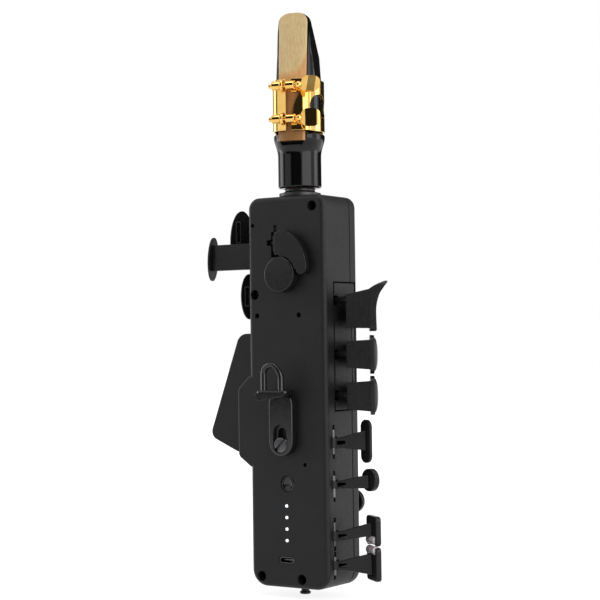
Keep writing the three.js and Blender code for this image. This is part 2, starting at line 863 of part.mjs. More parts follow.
// Casing
function backShell() {
  const outer = alongY(casingOutline(0), backY, seamY + casingEdgeRound, casingEdgeRound)
    .add(alongY(bumpOutline(0), backY, bumpFrontY, casingEdgeRound / 2));
  const cavity = alongY(casingOutline(casingWall), innerBackY, seamY + casingEdgeRound + overrun)
    .add(alongY(bumpOutline(casingWall), innerBackY, bumpFrontY - casingWall));
  const beyondSeam = block(
    -casingWidth, casingWidth,
    seamY - seatGap / 2, seamY + casingDepth,
    -overrun, casingHeight + overrun,
  );
  let shell = outer.subtract(cavity).subtract(beyondSeam);
  shell = shell.add(rodZ(0, neckY, plugBossRadius, -plugBossHeight, casingWall, turnSteps));
  shell = shell.add(joined(shellPads()));
  return shell.subtract(joined(backShellCuts()));
}

function shellPads() {
  const pads = caseScrews.map(({ x, z }) => rodY(x, z, screwPillarRadius, innerBackY - casingWall / 2,
    seamY - seatGap / 2));
  pads.push(rodY(bedScrew.x, bedScrew.z, screwPillarRadius, innerBackY - casingWall / 2,
    backY + bedDepthFromBack - seatGap));
  for (const share of standOffHeightShares) {
    const z = share * casingHeight;
    for (const side of [-1, 1]) {
      pads.push(rodY(side * standOffSpacing / 2, z, standOffRadius, innerBackY - casingWall / 2,
        boardBackY - seatGap, finePinSteps));
    }
  }
  pads.push(rodY(hookX, hookScrewZ(), hookBossRadius, innerBackY - casingWall / 2,
    boardBackY - seatGap));
  pads.push(block(
    octaveAxisX - octaveTailLength - octavePadMargin, octaveAxisX + octaveKnuckleRadius + octavePadMargin,
    innerBackY - casingWall / 2, innerBackY + octavePadDepth,
    octaveAxleBottom - octavePadMargin, octaveAxleTop + octavePadMargin,
  ));
  for (const key of lowerKeys) {
    pads.push(block(
      halfWidth - casingWall - lowerPadThickness, halfWidth - casingWall / 2,
      lowerPinY - lowerPadHalf, lowerPinY + lowerPadHalf,
      key.pinLow - lowerSlotEnd, key.pinHigh + lowerSlotEnd,
    ));
  }
  return pads;
}

function backShellCuts() {
  const cuts = [];
  for (const { x, z } of caseScrews) {
    cuts.push(rodY(x, z, screwWellRadius, backY - overrun, screwSeatY(false)));
    cuts.push(rodY(x, z, screwShankRadius + seatGap, backY, seamY, finePinSteps));
  }
  cuts.push(rodY(bedScrew.x, bedScrew.z, screwWellRadius, backY - overrun, screwSeatY(true)));
  cuts.push(rodY(bedScrew.x, bedScrew.z, screwShankRadius + seatGap, backY,
    backY + bedDepthFromBack, finePinSteps));
  for (const { x, z, radius } of pinHoles) {
    cuts.push(rodY(x, z, radius, backY - overrun, innerBackY + overrun, finePinSteps));
  }
  cuts.push(rodZ(0, neckY, neckSpigotRadius + seatGap, casingHeight - casingWall - overrun,
    casingHeight + overrun));
  cuts.push(rodZ(0, neckY, plugNeckRadius + seatGap, -plugBossHeight - overrun,
    casingWall + overrun, finePinSteps));
  cuts.push(rodY(buttonX, buttonZ, buttonRadius + runGap, backY - overrun, innerBackY + overrun));
  for (let n = 0; n < lightCount; n += 1) {
    cuts.push(rodY(lightX, lightTopZ - n * lightPitch, lightRadius + seatGap, backY - overrun,
      innerBackY + overrun, finePinSteps));
  }
  cuts.push(socketSolid(seatGap, backY - overrun, innerBackY + overrun));
  cuts.push(rodY(hookX, hookScrewZ(), hookScrewShankRadius + seatGap, backY - overrun,
    boardBackY + overrun, finePinSteps));
  cuts.push(...octaveCuts());
  cuts.push(bedBox(1, rightBedThickness, rightBedBottom, rightBedTop, seatGap));
  cuts.push(bedBox(-1, leftBedThickness, leftBedBottom, leftBedTop, seatGap));
  for (const key of lowerKeys) cuts.push(...lowerKeyCuts(key));
  return cuts;
}

function octaveCuts() {
  const reach = octaveAxleRadius + runGap;
  const clear = octaveKnuckleRadius + 2 * runGap;
  return [
    block(octaveAxisX - reach, octaveAxisX + reach, backY - overrun, octaveAxisY + reach,
      octaveAxleBottom - octaveSlotEnd, octaveAxleTop + octaveSlotEnd),
    block(octaveAxisX - clear, octaveAxisX + clear, backY - overrun, octaveAxisY + clear,
      octaveKnuckleBottom - runGap, octaveKnuckleTop + runGap),
    block(octaveAxisX - octaveTailLength - 2 * runGap, octaveAxisX, backY - overrun, octaveAxisY + clear,
      octaveTailZ - octaveTailHeight / 2 - runGap, octaveTailZ + octaveTailHeight / 2 + runGap),
  ];
}

function lowerKeyCuts(key) {
  const clear = lowerKnuckleRadius + runGap;
  const rootMiddle = (key.rootLow + key.rootHigh) / 2;
  const inside = halfWidth - casingWall - lowerPadThickness - overrun;
  return [
    rodChannel(1, lowerPinX, lowerPinY, lowerPinRadius, key.pinLow - runGap, key.pinHigh + runGap),
    block(lowerPinX - clear, halfWidth + overrun, lowerPinY - clear,
      lowerPinY + clear + lowerPocketRelief, key.rootLow - runGap, key.rootHigh + runGap),
    block(inside, halfWidth, lowerPinY - clear, lowerPinY + clear,
      rootMiddle - lowerFingerHeight / 2 - runGap, rootMiddle + lowerFingerHeight / 2 + runGap),
  ];
}

function frontShell() {
  const outer = alongY(casingOutline(0), seamY - casingEdgeRound, frontY, casingEdgeRound);
  const cavity = alongY(casingOutline(casingWall), seamY - casingEdgeRound - overrun,
    frontY - casingWall);
  const beforeSeam = block(
    -casingWidth, casingWidth,
    seamY - casingDepth, seamY + seatGap / 2,
    -overrun, casingHeight + overrun,
  );
  let shell = outer.subtract(cavity).subtract(beforeSeam);
  const adds = caseScrews.map(({ x, z }) => rodY(x, z, screwPillarRadius, seamY + seatGap / 2,
    frontY - casingWall / 2));
  for (const z of stackPostZs) {
    adds.push(block(
      stackRodX - stackPostHalf, stackRodX + stackPostHalf,
      frontY - casingWall / 2, stackRodY + stackPostHalf,
      z - stackPostThickness / 2, z + stackPostThickness / 2,
    ));
  }
  for (const z of [tableRodBottom, tableRodTop]) {
    adds.push(block(
      tableRodX - tableLugHalf, -halfWidth + casingWall / 2,
      tableRodY - tableLugHalf, tableRodY + tableLugHalf,
      z - tableLugThickness / 2, z + tableLugThickness / 2,
    ));
  }
  shell = shell.add(joined(adds));
  const cuts = caseScrews.map(({ x, z }) => rodY(x, z, screwShankRadius + seatGap, seamY,
    seamY + screwBite + seatGap, finePinSteps));
  cuts.push(rodZ(stackRodX, stackRodY, stackRodRadius + runGap, stackRodBottom - seatGap,
    stackRodTop + seatGap, finePinSteps));
  cuts.push(rodZ(tableRodX, tableRodY, tableRodRadius + runGap, tableRodBottom - tableLugThickness,
    tableRodTop + tableLugThickness, finePinSteps));
  cuts.push(bedBox(1, rightBedThickness, rightBedBottom, rightBedTop, seatGap));
  cuts.push(bedBox(-1, leftBedThickness, leftBedBottom, leftBedTop, seatGap));
  return shell.subtract(joined(cuts));
}

// Screws
function screwSeatY(forBed) {
  const end = forBed ? backY + bedDepthFromBack - seatGap : seamY - seatGap / 2;
  return end - screwFloor;
}

function caseScrew({ x, z }, forBed) {
  const seat = screwSeatY(forBed) - seatGap;
  const bite = forBed ? backY + bedDepthFromBack + screwBite : seamY + screwBite;
  const shank = rodY(x, z, screwShankRadius, seat - screwHeadHeight / 2, bite, finePinSteps);
  const head = rodY(x, z, screwHeadRadius, seat - screwHeadHeight, seat, finePinSteps);
  const drive = rodY(x, z, driveSocketRadius, seat - screwHeadHeight - overrun,
    seat - screwHeadHeight + driveSocketDepth, driveSides);
  return head.add(shank).subtract(drive);
}

// Electronics
function mainboard() {
  const half = halfWidth - bedRecess - leftBedThickness - boardSideClearance;
  const board = block(-half, half, boardBackY, boardFrontY, boardBottom, boardTop);
  const pushSwitch = block(
    buttonX - switchSize / 2, buttonX + switchSize / 2,
    boardBackY - switchRise, boardBackY + boardThickness / 2,
    buttonZ - switchSize / 2, buttonZ + switchSize / 2,
  );
  const chip = block(
    -chipSize / 2, chipSize / 2,
    boardFrontY - boardThickness / 2, boardFrontY + chipHeight,
    chipCentreZ - chipSize / 2, chipCentreZ + chipSize / 2,
  );
  return joined([board, pushSwitch, chip]);
}

function battery() {
  const from = boardFrontY + seatGap;
  const outline = rectangle(
    -batteryWidth / 2, batteryWidth / 2,
    batteryCentreZ - batteryHeight / 2, batteryCentreZ + batteryHeight / 2, batteryRadius,
  );
  return alongY(outline, from, from + batteryDepth);
}

function sensorTop() {
  return casingHeight - casingWall - neckSpigotDepth - 2 * seatGap - sensorHeight;
}

function pressureSensor() {
  const from = boardFrontY + seatGap;
  return block(
    -sensorSize / 2, sensorSize / 2, from, from + sensorDepth,
    sensorTop() - sensorSize, sensorTop(),
  );
}

function breathTube() {
  const top = casingHeight - casingWall - neckSpigotDepth - seatGap;
  return sleeve(0, neckY, breathTubeBore, breathTubeRadius, sensorTop() + seatGap, top);
}

function powerButton() {
  const face = backY + seatGap;
  const flangeFrom = innerBackY + seatGap;
  const flangeTo = flangeFrom + buttonFlangeThickness;
  const stemTo = boardBackY - switchRise - buttonTravel - seatGap / 2;
  const cap = rodY(buttonX, buttonZ, buttonRadius, face, flangeTo);
  const flange = rodY(buttonX, buttonZ, buttonRadius + buttonFlange, flangeFrom, flangeTo);
  const stem = rodY(buttonX, buttonZ, buttonStemRadius, flangeFrom, stemTo, finePinSteps);
  const dishRadius = (buttonRadius ** 2 + buttonDish ** 2) / (2 * buttonDish);
  const dish = solidOf(new THREE.SphereGeometry(dishRadius, 2 * turnSteps, turnSteps)
    .translate(buttonX, face + buttonDish - dishRadius, buttonZ));
  const rimmed = rodY(buttonX, buttonZ, buttonRadius - buttonDish / 2, face - dishRadius, flangeTo);
  return joined([cap, flange, stem]).subtract(dish.intersect(rimmed));
}

function lightGuide() {
  const barFrom = innerBackY + seatGap;
  const barTo = barFrom + lightBarThickness;
  const lowest = lightTopZ - (lightCount - 1) * lightPitch;
  const bar = block(
    lightX - lightBarMargin, lightX + lightBarMargin, barFrom, barTo,
    lowest - lightBarMargin, lightTopZ + lightBarMargin,
  );
  const pips = [];
  for (let n = 0; n < lightCount; n += 1) {
    pips.push(rodY(lightX, lightTopZ - n * lightPitch, lightRadius, backY, barTo, finePinSteps));
  }
  return bar.add(joined(pips));
}

function socketOutline(grow) {
  const half = socketHeight / 2 + grow;
  const reach = socketWidth / 2 - socketHeight / 2;
  const shape = new THREE.Shape();
  shape.absarc(socketX + reach, socketZ, half, -Math.PI / 2, Math.PI / 2, false);
  shape.absarc(socketX - reach, socketZ, half, Math.PI / 2, 3 * Math.PI / 2, false);
  shape.closePath();
  return shape;
}

function socketSolid(grow, from, to) {
  return alongY(socketOutline(grow), from, to);
}

function usbSocket() {
  const mouth = backY + seatGap;
  const floorY = boardBackY - seatGap;
  const tongue = block(
    socketX - socketTongueWidth / 2, socketX + socketTongueWidth / 2,
    mouth + socketTongueSetBack, floorY - socketFloor / 2,
    socketZ - socketTongueHeight / 2, socketZ + socketTongueHeight / 2,
  );
  return socketSolid(0, mouth, floorY)
    .subtract(socketSolid(-socketWall, mouth - overrun, floorY - socketFloor))
    .add(tongue);
}

// Neck and mouthpiece
function neckCollar() {
  const spigotEnd = casingHeight - casingWall - neckSpigotDepth;
  return turned([
    [neckBore, spigotEnd],
    [neckSpigotRadius, spigotEnd],
    [neckSpigotRadius, neckBaseZ],
    [neckFlangeRadius, neckBaseZ],
    [neckFlangeRadius, neckBaseZ + neckFlangeHeight / 2],
    [neckConeRadius, neckBaseZ + neckFlangeHeight],
    [neckConeRadius, neckConeTop],
    [neckTubeRadius, neckConeTop],
    [neckTubeRadius, neckTubeTop],
    [neckBore, neckTubeTop],
    [neckBore, spigotEnd],
  ]);
}

function neckCork() {
  const from = neckConeTop + seatGap;
  const inner = neckTubeRadius + seatGap;
  return sleeve(0, 0, inner, inner + corkThickness, from, neckTubeTop - corkMargin);
}

// Y of the flat table under the reed, at a height
function tableY(z) {
  const share = (z - tableHeelZ) / (mouthpieceTip - tableHeelZ);
  return tableHeelY + share * (tableTipY - tableHeelY);
}

function mouthpiece() {
  const rim = mouthpieceBottom + shankRimRound;
  const round = turned([
    [0, mouthpieceBottom],
    [shankRadius - shankRimRound, mouthpieceBottom],
    [shankRadius, rim],
    [shankRadius, mouthpieceBottom + shankLength],
    [shoulderWaistRadius, mouthpieceBottom + shoulderWaistRise],
    [shoulderRadius, mouthpieceBottom + shoulderRise],
    [shoulderRadius, mouthpieceBottom + shoulderTopRise],
    [barrelRadius, mouthpieceBottom + barrelRise],
    [barrelRadius, mouthpieceTip],
    [0, mouthpieceTip],
  ], turnSteps + finePinSteps);
  const wide = 2 * shoulderRadius;
  const profile = new THREE.Shape([
    new THREE.Vector2(-wide, mouthpieceBottom - overrun),
    new THREE.Vector2(wide, mouthpieceBottom - overrun),
    new THREE.Vector2(wide, beakStartZ),
    new THREE.Vector2(beakStartY, beakStartZ),
    new THREE.Vector2(tableTipY + beakTipThickness, mouthpieceTip),
    new THREE.Vector2(tableTipY, mouthpieceTip),
    new THREE.Vector2(tableHeelY, tableHeelZ),
    new THREE.Vector2(-wide, tableHeelZ),
  ]);
  const front = new THREE.Shape();
  front.moveTo(-wide, mouthpieceBottom - overrun);
  front.lineTo(wide, mouthpieceBottom - overrun);
  front.lineTo(wide, beakStartZ);
  front.lineTo(midWidth / 2, midWidthZ);
  front.quadraticCurveTo(tipWidth / 2, (midWidthZ + mouthpieceTip) / 2, tipWidth / 2,
    mouthpieceTip - reedTipRound);
  front.quadraticCurveTo(tipWidth / 2, mouthpieceTip, 0, mouthpieceTip);
  front.quadraticCurveTo(-tipWidth / 2, mouthpieceTip, -tipWidth / 2, mouthpieceTip - reedTipRound);
  front.quadraticCurveTo(-tipWidth / 2, (midWidthZ + mouthpieceTip) / 2, -midWidth / 2, midWidthZ);
  front.lineTo(-wide, beakStartZ);
  front.closePath();
  const body = round
    .intersect(alongX(profile, -wide, wide))
    .intersect(alongY(front, -wide, wide));
  const bore = rodZ(0, 0, shankBore, mouthpieceBottom - overrun, mouthpieceBottom + shankBoreDepth);
  const chamber = rodZ(0, 0, chamberRadius, mouthpieceBottom, mouthpieceBottom + chamberDepth);
  const window = alongY(rectangle(-windowWidth / 2, windowWidth / 2, windowBottom, windowTop),
    tableHeelY - overrun, tableTipY + beakTipThickness / 2);
  return body.subtract(bore).subtract(chamber).subtract(window.intersect(windowWedge()));
}

// Keeps the window's floor under the sloping beak
function windowWedge() {
  const depth = tableTipY + beakTipThickness;
  return alongX(new THREE.Shape([
    new THREE.Vector2(tableHeelY - overrun, windowBottom),
    new THREE.Vector2(0, windowBottom),
    new THREE.Vector2(depth, (windowBottom + windowTop) / 2 + reedTipRound),
    new THREE.Vector2(tableTipY, windowTop),
    new THREE.Vector2(tableHeelY - overrun, windowTop),
  ]), -windowWidth, windowWidth);
}

function reed() {
  const reedHeelZ = mouthpieceBottom + reedHeelRise;
  const reedTipZ = mouthpieceTip - reedTipInset;
  const reedVampZ = mouthpieceBottom + reedVampRise;
  const at = (z, thickness) => new THREE.Vector2(tableY(z) - seatGap - thickness, z);
  const profile = new THREE.Shape([
    at(reedHeelZ, 0),
    at(reedTipZ, 0),
    at(reedTipZ, reedTipThickness),
    at(reedVampZ, reedHeelThickness),
    at(reedHeelZ, reedHeelThickness),
  ]);
  const outline = roundedOutline([
    [reedWidthHeel / 2, reedHeelZ],
    [reedWidthTip / 2, reedTipZ, reedTipRound],
    [-reedWidthTip / 2, reedTipZ, reedTipRound],
    [-reedWidthHeel / 2, reedHeelZ],
  ]);
  return alongX(profile, -reedWidthTip, reedWidthTip)
    .intersect(alongY(outline, tableHeelY - 2 * reedHeelThickness, 0));
}

// Ligature
function bandOutline(grow) {
  const radius = bandInnerRadius + grow;
  const front = bandFrontY - grow;
  const shape = new THREE.Shape();
  shape.moveTo(0, front);
  shape.lineTo(bandFrontRight + grow, front);
  shape.absarc(0, 0, radius, -bandRightTurn, Math.PI + bandLeftTurn, false);
  shape.lineTo(bandFrontLeft - grow, front);
  shape.closePath();
  return shape;
}

// The slot between the two rows of lugs, with a bay in its right edge
function bandSlot() {
  const far = 2 * bandInnerRadius;
  const middle = ligatureScrewZs[0] + ligatureScrewPitch / 2;
  const slotTo = bandSlotFrom + bandSlotWidth;
  const straight = block(bandSlotFrom, slotTo, -far, bandFrontY + overrun,
    bandBottom - overrun, bandTop + overrun);
  const bay = new THREE.Shape();
  bay.moveTo(bandSlotWindowRight, middle - bandSlotWindowHalf);
  bay.lineTo(bandSlotWindowRight, middle + bandSlotWindowHalf);
  bay.quadraticCurveTo(bandSlotWindowBulge, middle, bandSlotWindowBulge + runGap,
    middle - bandSlotWindowHalf);
  bay.closePath();
  return straight.add(alongY(bay, -far, bandFrontY + overrun));
}

function ligatureBand() {
  const ring = alongZ(bandOutline(bandThickness), bandBottom, bandTop, finePinSteps)
    .subtract(alongZ(bandOutline(0), bandBottom - overrun, bandTop + overrun, finePinSteps));
  const far = 2 * bandInnerRadius;
  const middle = ligatureScrewZs[0] + ligatureScrewPitch / 2 - bandWindowDrop;
  const windowShape = new THREE.Shape();
  windowShape.absellipse(0, middle, bandWindowHalf, bandWindowHalfHeight, 0, 2 * Math.PI, false);
  const window = moved(alongX(windowShape, bandInnerRadius / 2, far), 1, bandWindowTurn, [0, 0]);
  const lugs = [];
  for (const z of ligatureScrewZs) {
    for (const [from, to] of [[lugLeftFrom, lugLeftTo], [lugRightFrom, lugRightTo]]) {
      const barrel = rodX(ligatureScrewY, z, lugRadius, from, to, finePinSteps);
      const foot = block(from, to, ligatureScrewY, bandFrontY - bandThickness / 2,
        z - lugRadius / 2, z + lugRadius / 2);
      lugs.push(barrel.add(foot));
    }
  }
  let band = ring.subtract(bandSlot()).subtract(window).add(joined(lugs));
  for (const z of ligatureScrewZs) {
    band = band.subtract(rodX(ligatureScrewY, z, ligatureScrewRadius + runGap, lugLeftFrom - overrun,
      lugRightTo + overrun, finePinSteps));
  }
  return band;
}

// A thumb screw about X, with its turning axis through the origin
function ligatureScrew() {
  const ballX = lugRightTo + runGap + screwBallRadius;
  const shank = rodX(0, 0, ligatureScrewRadius, lugLeftFrom - screwTailOut, ballX, finePinSteps);
  const collarX = lugLeftTo + runGap;
  const collar = rodX(0, 0, collarRadius, collarX, collarX + collarThickness, turnSteps);
  const headBall = ball(ballX, 0, 0, screwBallRadius);
  const outline = rectangle(screwBallRadius / 2, screwBallRadius / 2 + paddleLength,
    -paddleHeight / 2, paddleHeight / 2, paddleCornerShare * paddleHeight);
  const paddle = extruded(outline, paddleThickness).translate(0, 0, -paddleThickness / 2)
    .rotateX(Math.PI / 2).translate(ballX, 0, 0);
  return joined([shank, collar, headBall, solidOf(paddle)]);
}

// Back of the instrument
function thumbRest() {
  const base = backY - seatGap;
  const face = backY - thumbRestHeight;
  const drum = rodY(thumbRestX, thumbRestZ, thumbRestRadius - thumbRestRound, face,
    face + thumbRestRound, 2 * finePinSteps, thumbRestRadius);
  return drum.add(rodY(thumbRestX, thumbRestZ, thumbRestRadius, face + thumbRestRound, base,
    2 * finePinSteps));
}

// Seen from behind: an arc over the thumb rest that ends in a rounded tip on its right
function octavePlateOutline() {
  const left = octaveAxisX + octavePlateInset;
  const innerRadius = thumbRestRadius + octaveEdge;
  const low = thumbRestZ + innerRadius + octaveEdge / 2;
  const shape = new THREE.Shape();
  shape.moveTo(left, low + octaveEdge);
  shape.lineTo(thumbRestX, low);
  shape.absarc(thumbRestX, thumbRestZ, innerRadius, Math.PI / 2, octaveTipShare * Math.PI, true);
  shape.absarc(thumbRestX + octaveTipOut, thumbRestZ + octaveTipUp, octaveTipRadius,
    Math.PI, 2 * Math.PI, false);
  shape.bezierCurveTo(
    thumbRestX + octaveTipOut + octaveTipRadius, thumbRestZ + octaveShoulderUp,
    thumbRestX + octaveShoulderOut, thumbRestZ + octaveCrownUp,
    thumbRestX + octaveCrownX, thumbRestZ + octaveCrownUp,
  );
  shape.lineTo(left, thumbRestZ + octaveCrownUp - 2 * octaveEdge);
  shape.closePath();
  return shape;
}

// The octave key with its turning axis through the origin
function octaveKey() {
  const plate = alongY(octavePlateOutline(), octaveTopY, octaveBottomY);
  const neck = block(
    octaveAxisX - octaveNeckHalf, octaveAxisX + octaveNeckHalf,
    octaveBottomY - octaveThickness + octaveNeckDrop, octaveAxisY,
    octaveKnuckleBottom, octaveKnuckleTop,
  ).add(block(
    octaveAxisX, octaveAxisX + octavePlateInset + octaveEdge,
    octaveBottomY - octaveThickness + octaveNeckDrop, octaveBottomY,
    octaveKnuckleBottom, octaveKnuckleTop,
  ));
  const knuckle = rodZ(octaveAxisX, octaveAxisY, octaveKnuckleRadius, octaveKnuckleBottom,
    octaveKnuckleTop, finePinSteps);
  const tail = block(
    octaveAxisX - octaveTailLength, octaveAxisX,
    octaveAxisY - octaveTailThickness / 2, octaveAxisY + octaveTailThickness / 2,
    octaveTailZ - octaveTailHeight / 2, octaveTailZ + octaveTailHeight / 2,
  );
  const bore = rodZ(octaveAxisX, octaveAxisY, octaveAxleRadius + runGap, octaveAxleBottom,
    octaveAxleTop, finePinSteps);
  return joined([plate, neck, knuckle, tail]).subtract(bore);
}

function hookScrewZ() {
  return hookSlotBottom + hookSlotWidth / 2;
}

function ringOutline(grow) {
  const left = ringX - ringWidth / 2 - grow;
  const right = ringX + ringWidth / 2 + grow;
  const top = shelfTop + ringHeight + grow;
  const low = shelfTop - shelfThickness / 2;
  const round = ringCrownRadius + grow / 2;
  return roundedOutline([
    [right, low],
    [right, top - ringShoulderDrop, round],
    [ringX - ringCrownLeft, top, round],
    [left, top - ringCrownRadius, round],
    [left, low],
  ]);
}

function thumbHook() {
  const plate = alongY(obround(hookX, hookWidth, hookBottom, hookTop), hookFaceY, hookBackY);
  const shelfOuterY = hookFaceY - shelfReach;
  const shelf = alongZ(roundedOutline([
    [shelfRight, hookFaceY],
    [shelfRight, shelfOuterY, shelfCornerRadius],
    [shelfLeft, shelfOuterY, shelfCornerRadius],
    [shelfLeft, hookFaceY],
  ]), shelfTop - shelfThickness, shelfTop);
  const bridge = block(
    hookX - hookWidth / 2, hookX + hookWidth / 2,
    hookFaceY - shelfThickness / 2, hookFaceY + hookThickness / 2,
    shelfTop - shelfThickness, shelfTop,
  );
  const shelfLow = shelfTop - shelfThickness;
  const lip = alongY(roundedOutline([
    [shelfRight, shelfLow - shelfLipDrop + shelfLipRise, shelfThickness / 2],
    [shelfRight, shelfTop - shelfThickness / 2],
    [shelfLeft, shelfTop - shelfThickness / 2],
    [shelfLeft, shelfLow - shelfLipDrop, shelfThickness],
  ]), shelfOuterY, shelfOuterY + shelfLipThickness);
  const ringBody = alongY(ringOutline(0), ringY - ringDepth / 2, ringY + ringDepth / 2);
  const eye = alongY(ringOutline(-ringLimb), ringY - ringDepth, ringY + ringDepth)
    .intersect(block(-casingWidth, casingWidth, ringY - ringDepth, ringY + ringDepth, shelfTop,
      shelfTop + ringHeight));
  const solid = joined([plate, shelf, bridge, lip, ringBody]).subtract(eye);
  const sink = alongY(obround(hookX, hookSlotWidth, hookSlotBottom, hookSlotTop),
    hookFaceY - overrun, hookFaceY + hookSlotSink);
  const step = (hookSlotWidth - hookThroughWidth) / 2;
  const through = alongY(obround(hookX, hookThroughWidth, hookSlotBottom + step, hookSlotTop - step),
    hookFaceY - overrun, hookBackY + overrun);
  return solid.subtract(sink).subtract(through);
}

// The hook screw about Y, with its turning axis through the origin
function hookScrew() {
  const headFrom = hookFaceY + hookSlotSink - seatGap - hookScrewHeadHeight;
  const headTo = hookFaceY + hookSlotSink - seatGap;
  const head = rodY(0, 0, hookScrewHeadRadius, headFrom, headTo);
  const shank = rodY(0, 0, hookScrewShankRadius, headFrom + hookScrewHeadHeight / 2,
    backY + hookScrewReach, finePinSteps);
  const cut = new THREE.BoxGeometry(4 * hookScrewHeadRadius, 2 * hookScrewSlotDepth, hookScrewSlotWidth)
    .rotateY(hookScrewSlotTurn)
    .translate(0, headFrom, 0);
  return head.add(shank).subtract(solidOf(cut));
}

function drainPlug() {
  const headTop = -plugDrop + plugHeadHeight - plugBossHeight;
  const neck = rodZ(0, neckY, plugNeckRadius, -plugDrop - plugBossHeight + plugHeadHeight / 2,
    casingWall + overrun / 2, finePinSteps);
  const head = rodZ(0, neckY, plugRadius, -plugDrop - plugBossHeight, headTop, finePinSteps);
  const flange = rodZ(0, neckY, plugRadius, casingWall + seatGap, casingWall + overrun, finePinSteps);
  return joined([neck, head, flange]);
}

// Beds that carry the block keys
function keyBed(side, thickness, low, high, keys) {
  const span = blockRodSpan(keys);
  const cuts = [rodChannel(side, blockRodX, blockRodY, blockRodRadius, span.low - runGap,
    span.high + runGap)];
  const clear = knuckleRadius + runGap;
  for (const key of keys) {
    const inner = side * (blockRodX - clear);
    const outer = side * (halfWidth + overrun);
    cuts.push(block(
      Math.min(inner, outer), Math.max(inner, outer),
      blockRodY - clear, blockRodY + clear,
      key.knuckleZ - knuckleLength / 2 - runGap, key.knuckleZ + knuckleLength / 2 + runGap,
    ));
    if (key.plungerZ) {
      const inside = side * (halfWidth - bedRecess - thickness - overrun);
      cuts.push(rodX(backY + plungerFromBack, key.plungerZ, plungerHoleRadius,
        Math.min(inside, outer), Math.max(inside, outer), finePinSteps));
    }
  }
  return bedBox(side, thickness, low, high, 0).subtract(joined(cuts));
}

function palmKeyBed() {
  return keyBed(-1, leftBedThickness, leftBedBottom, leftBedTop, palmKeys)
    .subtract(rodY(bedScrew.x, bedScrew.z, screwShankRadius + seatGap, backY,
      backY + bedDepthFromBack + screwBite + seatGap, finePinSteps));
}

function blockRodSpan(keys) {
  const zs = keys.map((key) => key.knuckleZ);
  const reach = knuckleLength / 2 + blockRodEnd;
  return { low: Math.min(...zs) - reach, high: Math.max(...zs) + reach };
}

function blockRod(keys) {
  const span = blockRodSpan(keys);
  return rodZ(0, 0, blockRodRadius, span.low, span.high, finePinSteps);
}

// Touch cap: a profile in outward distance and height, as wide as the touch
function capSolid(profile, width, outline) {
  return alongY(profile, -width / 2, width / 2)
    .intersect(alongX(outline, -overrun, 2 * width, 2 * curveSteps));
}

// A solid tilted about a line along Y at a height
function leaned(solid, lean, height) {
  return moved(solid, 1, 0, [0, 0], (geometry) => geometry.translate(0, 0, -height)
    .rotateY(lean)
    .translate(0, 0, height));
}

// An egg shape, widest at one height
function ovalOutline(width, low, high, widest = (low + high) / 2) {
  const shape = new THREE.Shape();
  shape.absellipse(0, widest, width / 2, high - widest, 0, Math.PI, false);
  shape.absellipse(0, widest, width / 2, widest - low, Math.PI, 2 * Math.PI, false);
  return shape;
}

// Turns a solid about Z, mirrors it to the left side if asked, and moves it
function moved(solid, side, turn, [out, back], first = (geometry) => geometry) {
  const { vertProperties, triVerts } = solid.getMesh();
  const geometry = new THREE.BufferGeometry();
  geometry.setAttribute('position', new THREE.BufferAttribute(new Float32Array(vertProperties), 3));
  geometry.setIndex(new THREE.BufferAttribute(new Uint32Array(triVerts), 1));
  first(geometry).rotateZ(turn).translate(out, -back, 0).scale(side, 1, 1);
  return solidOf(geometry);
}

function roundedCapProfile(key, rim, bulge) {
  const middle = (key.capLow + key.capHigh) / 2;
  const shape = new THREE.Shape();
  shape.moveTo(0, key.capLow);
  shape.lineTo(rim, key.capLow);
  shape.quadraticCurveTo(rim + 2 * bulge, middle, rim, key.capHigh);
  shape.lineTo(0, key.capHigh);
  shape.closePath();
  return shape;
}

function hornProfile(key) {
  const shape = new THREE.Shape();
  shape.moveTo(0, key.capLow);
  shape.lineTo(hornFoot, key.capLow);
  shape.quadraticCurveTo(hornWaist, (key.capLow + hornWaistZ) / 2, hornWaist, hornWaistZ);
  shape.quadraticCurveTo(hornWaist, (hornWaistZ + hornBendZ) / 2, hornBend, hornBendZ);
  shape.quadraticCurveTo((hornBend + hornTipOut) / 2, (hornBendZ + key.capHigh) / 2,
    hornTipOut, key.capHigh - hornTipHalf);
  shape.lineTo(hornTipOut - hornTipHalf, key.capHigh);
  shape.quadraticCurveTo(hornBend / 2, key.high + (key.flareHigh + hornTipHalf) * hornCrotchShare, 0,
    key.high + key.flareHigh);
  shape.closePath();
  return shape;
}

// A plan outline given as outward and backward distances from the rod, as a solid on one side
function planBlock(points, side, low, high) {
  const shape = new THREE.Shape(points.map(([out, back]) => new THREE.Vector2(side * out, -back)));
  return alongZ(shape, low, high);
}

function knuckleParts(key, side) {
  const low = key.knuckleZ - knuckleLength / 2;
  const high = key.knuckleZ + knuckleLength / 2;
  const neck = planBlock([
    [0, neckHalfThickness],
    [blockNeck, neckHalfThickness],
    [blockNeck, -neckHalfThickness],
    [0, -neckHalfThickness],
  ], side, low, high);
  return rodZ(0, 0, knuckleRadius, low, high, finePinSteps).add(neck);
}

function knuckleBore(key) {
  return rodZ(0, 0, blockRodRadius + runGap, key.knuckleZ - knuckleLength,
    key.knuckleZ + knuckleLength, finePinSteps);
}

function plunger(key, side, standOff) {
  const back = blockRodY - (backY + plungerFromBack);
  const tip = blockRodInset - plungerReach - bedRecess;
  const cone = rodX(-back, key.plungerZ, plungerTipRadius, tip, standOff + neckHalfThickness,
    finePinSteps, plungerBaseRadius);
  return moved(cone, side, 0, [0, 0]);
}

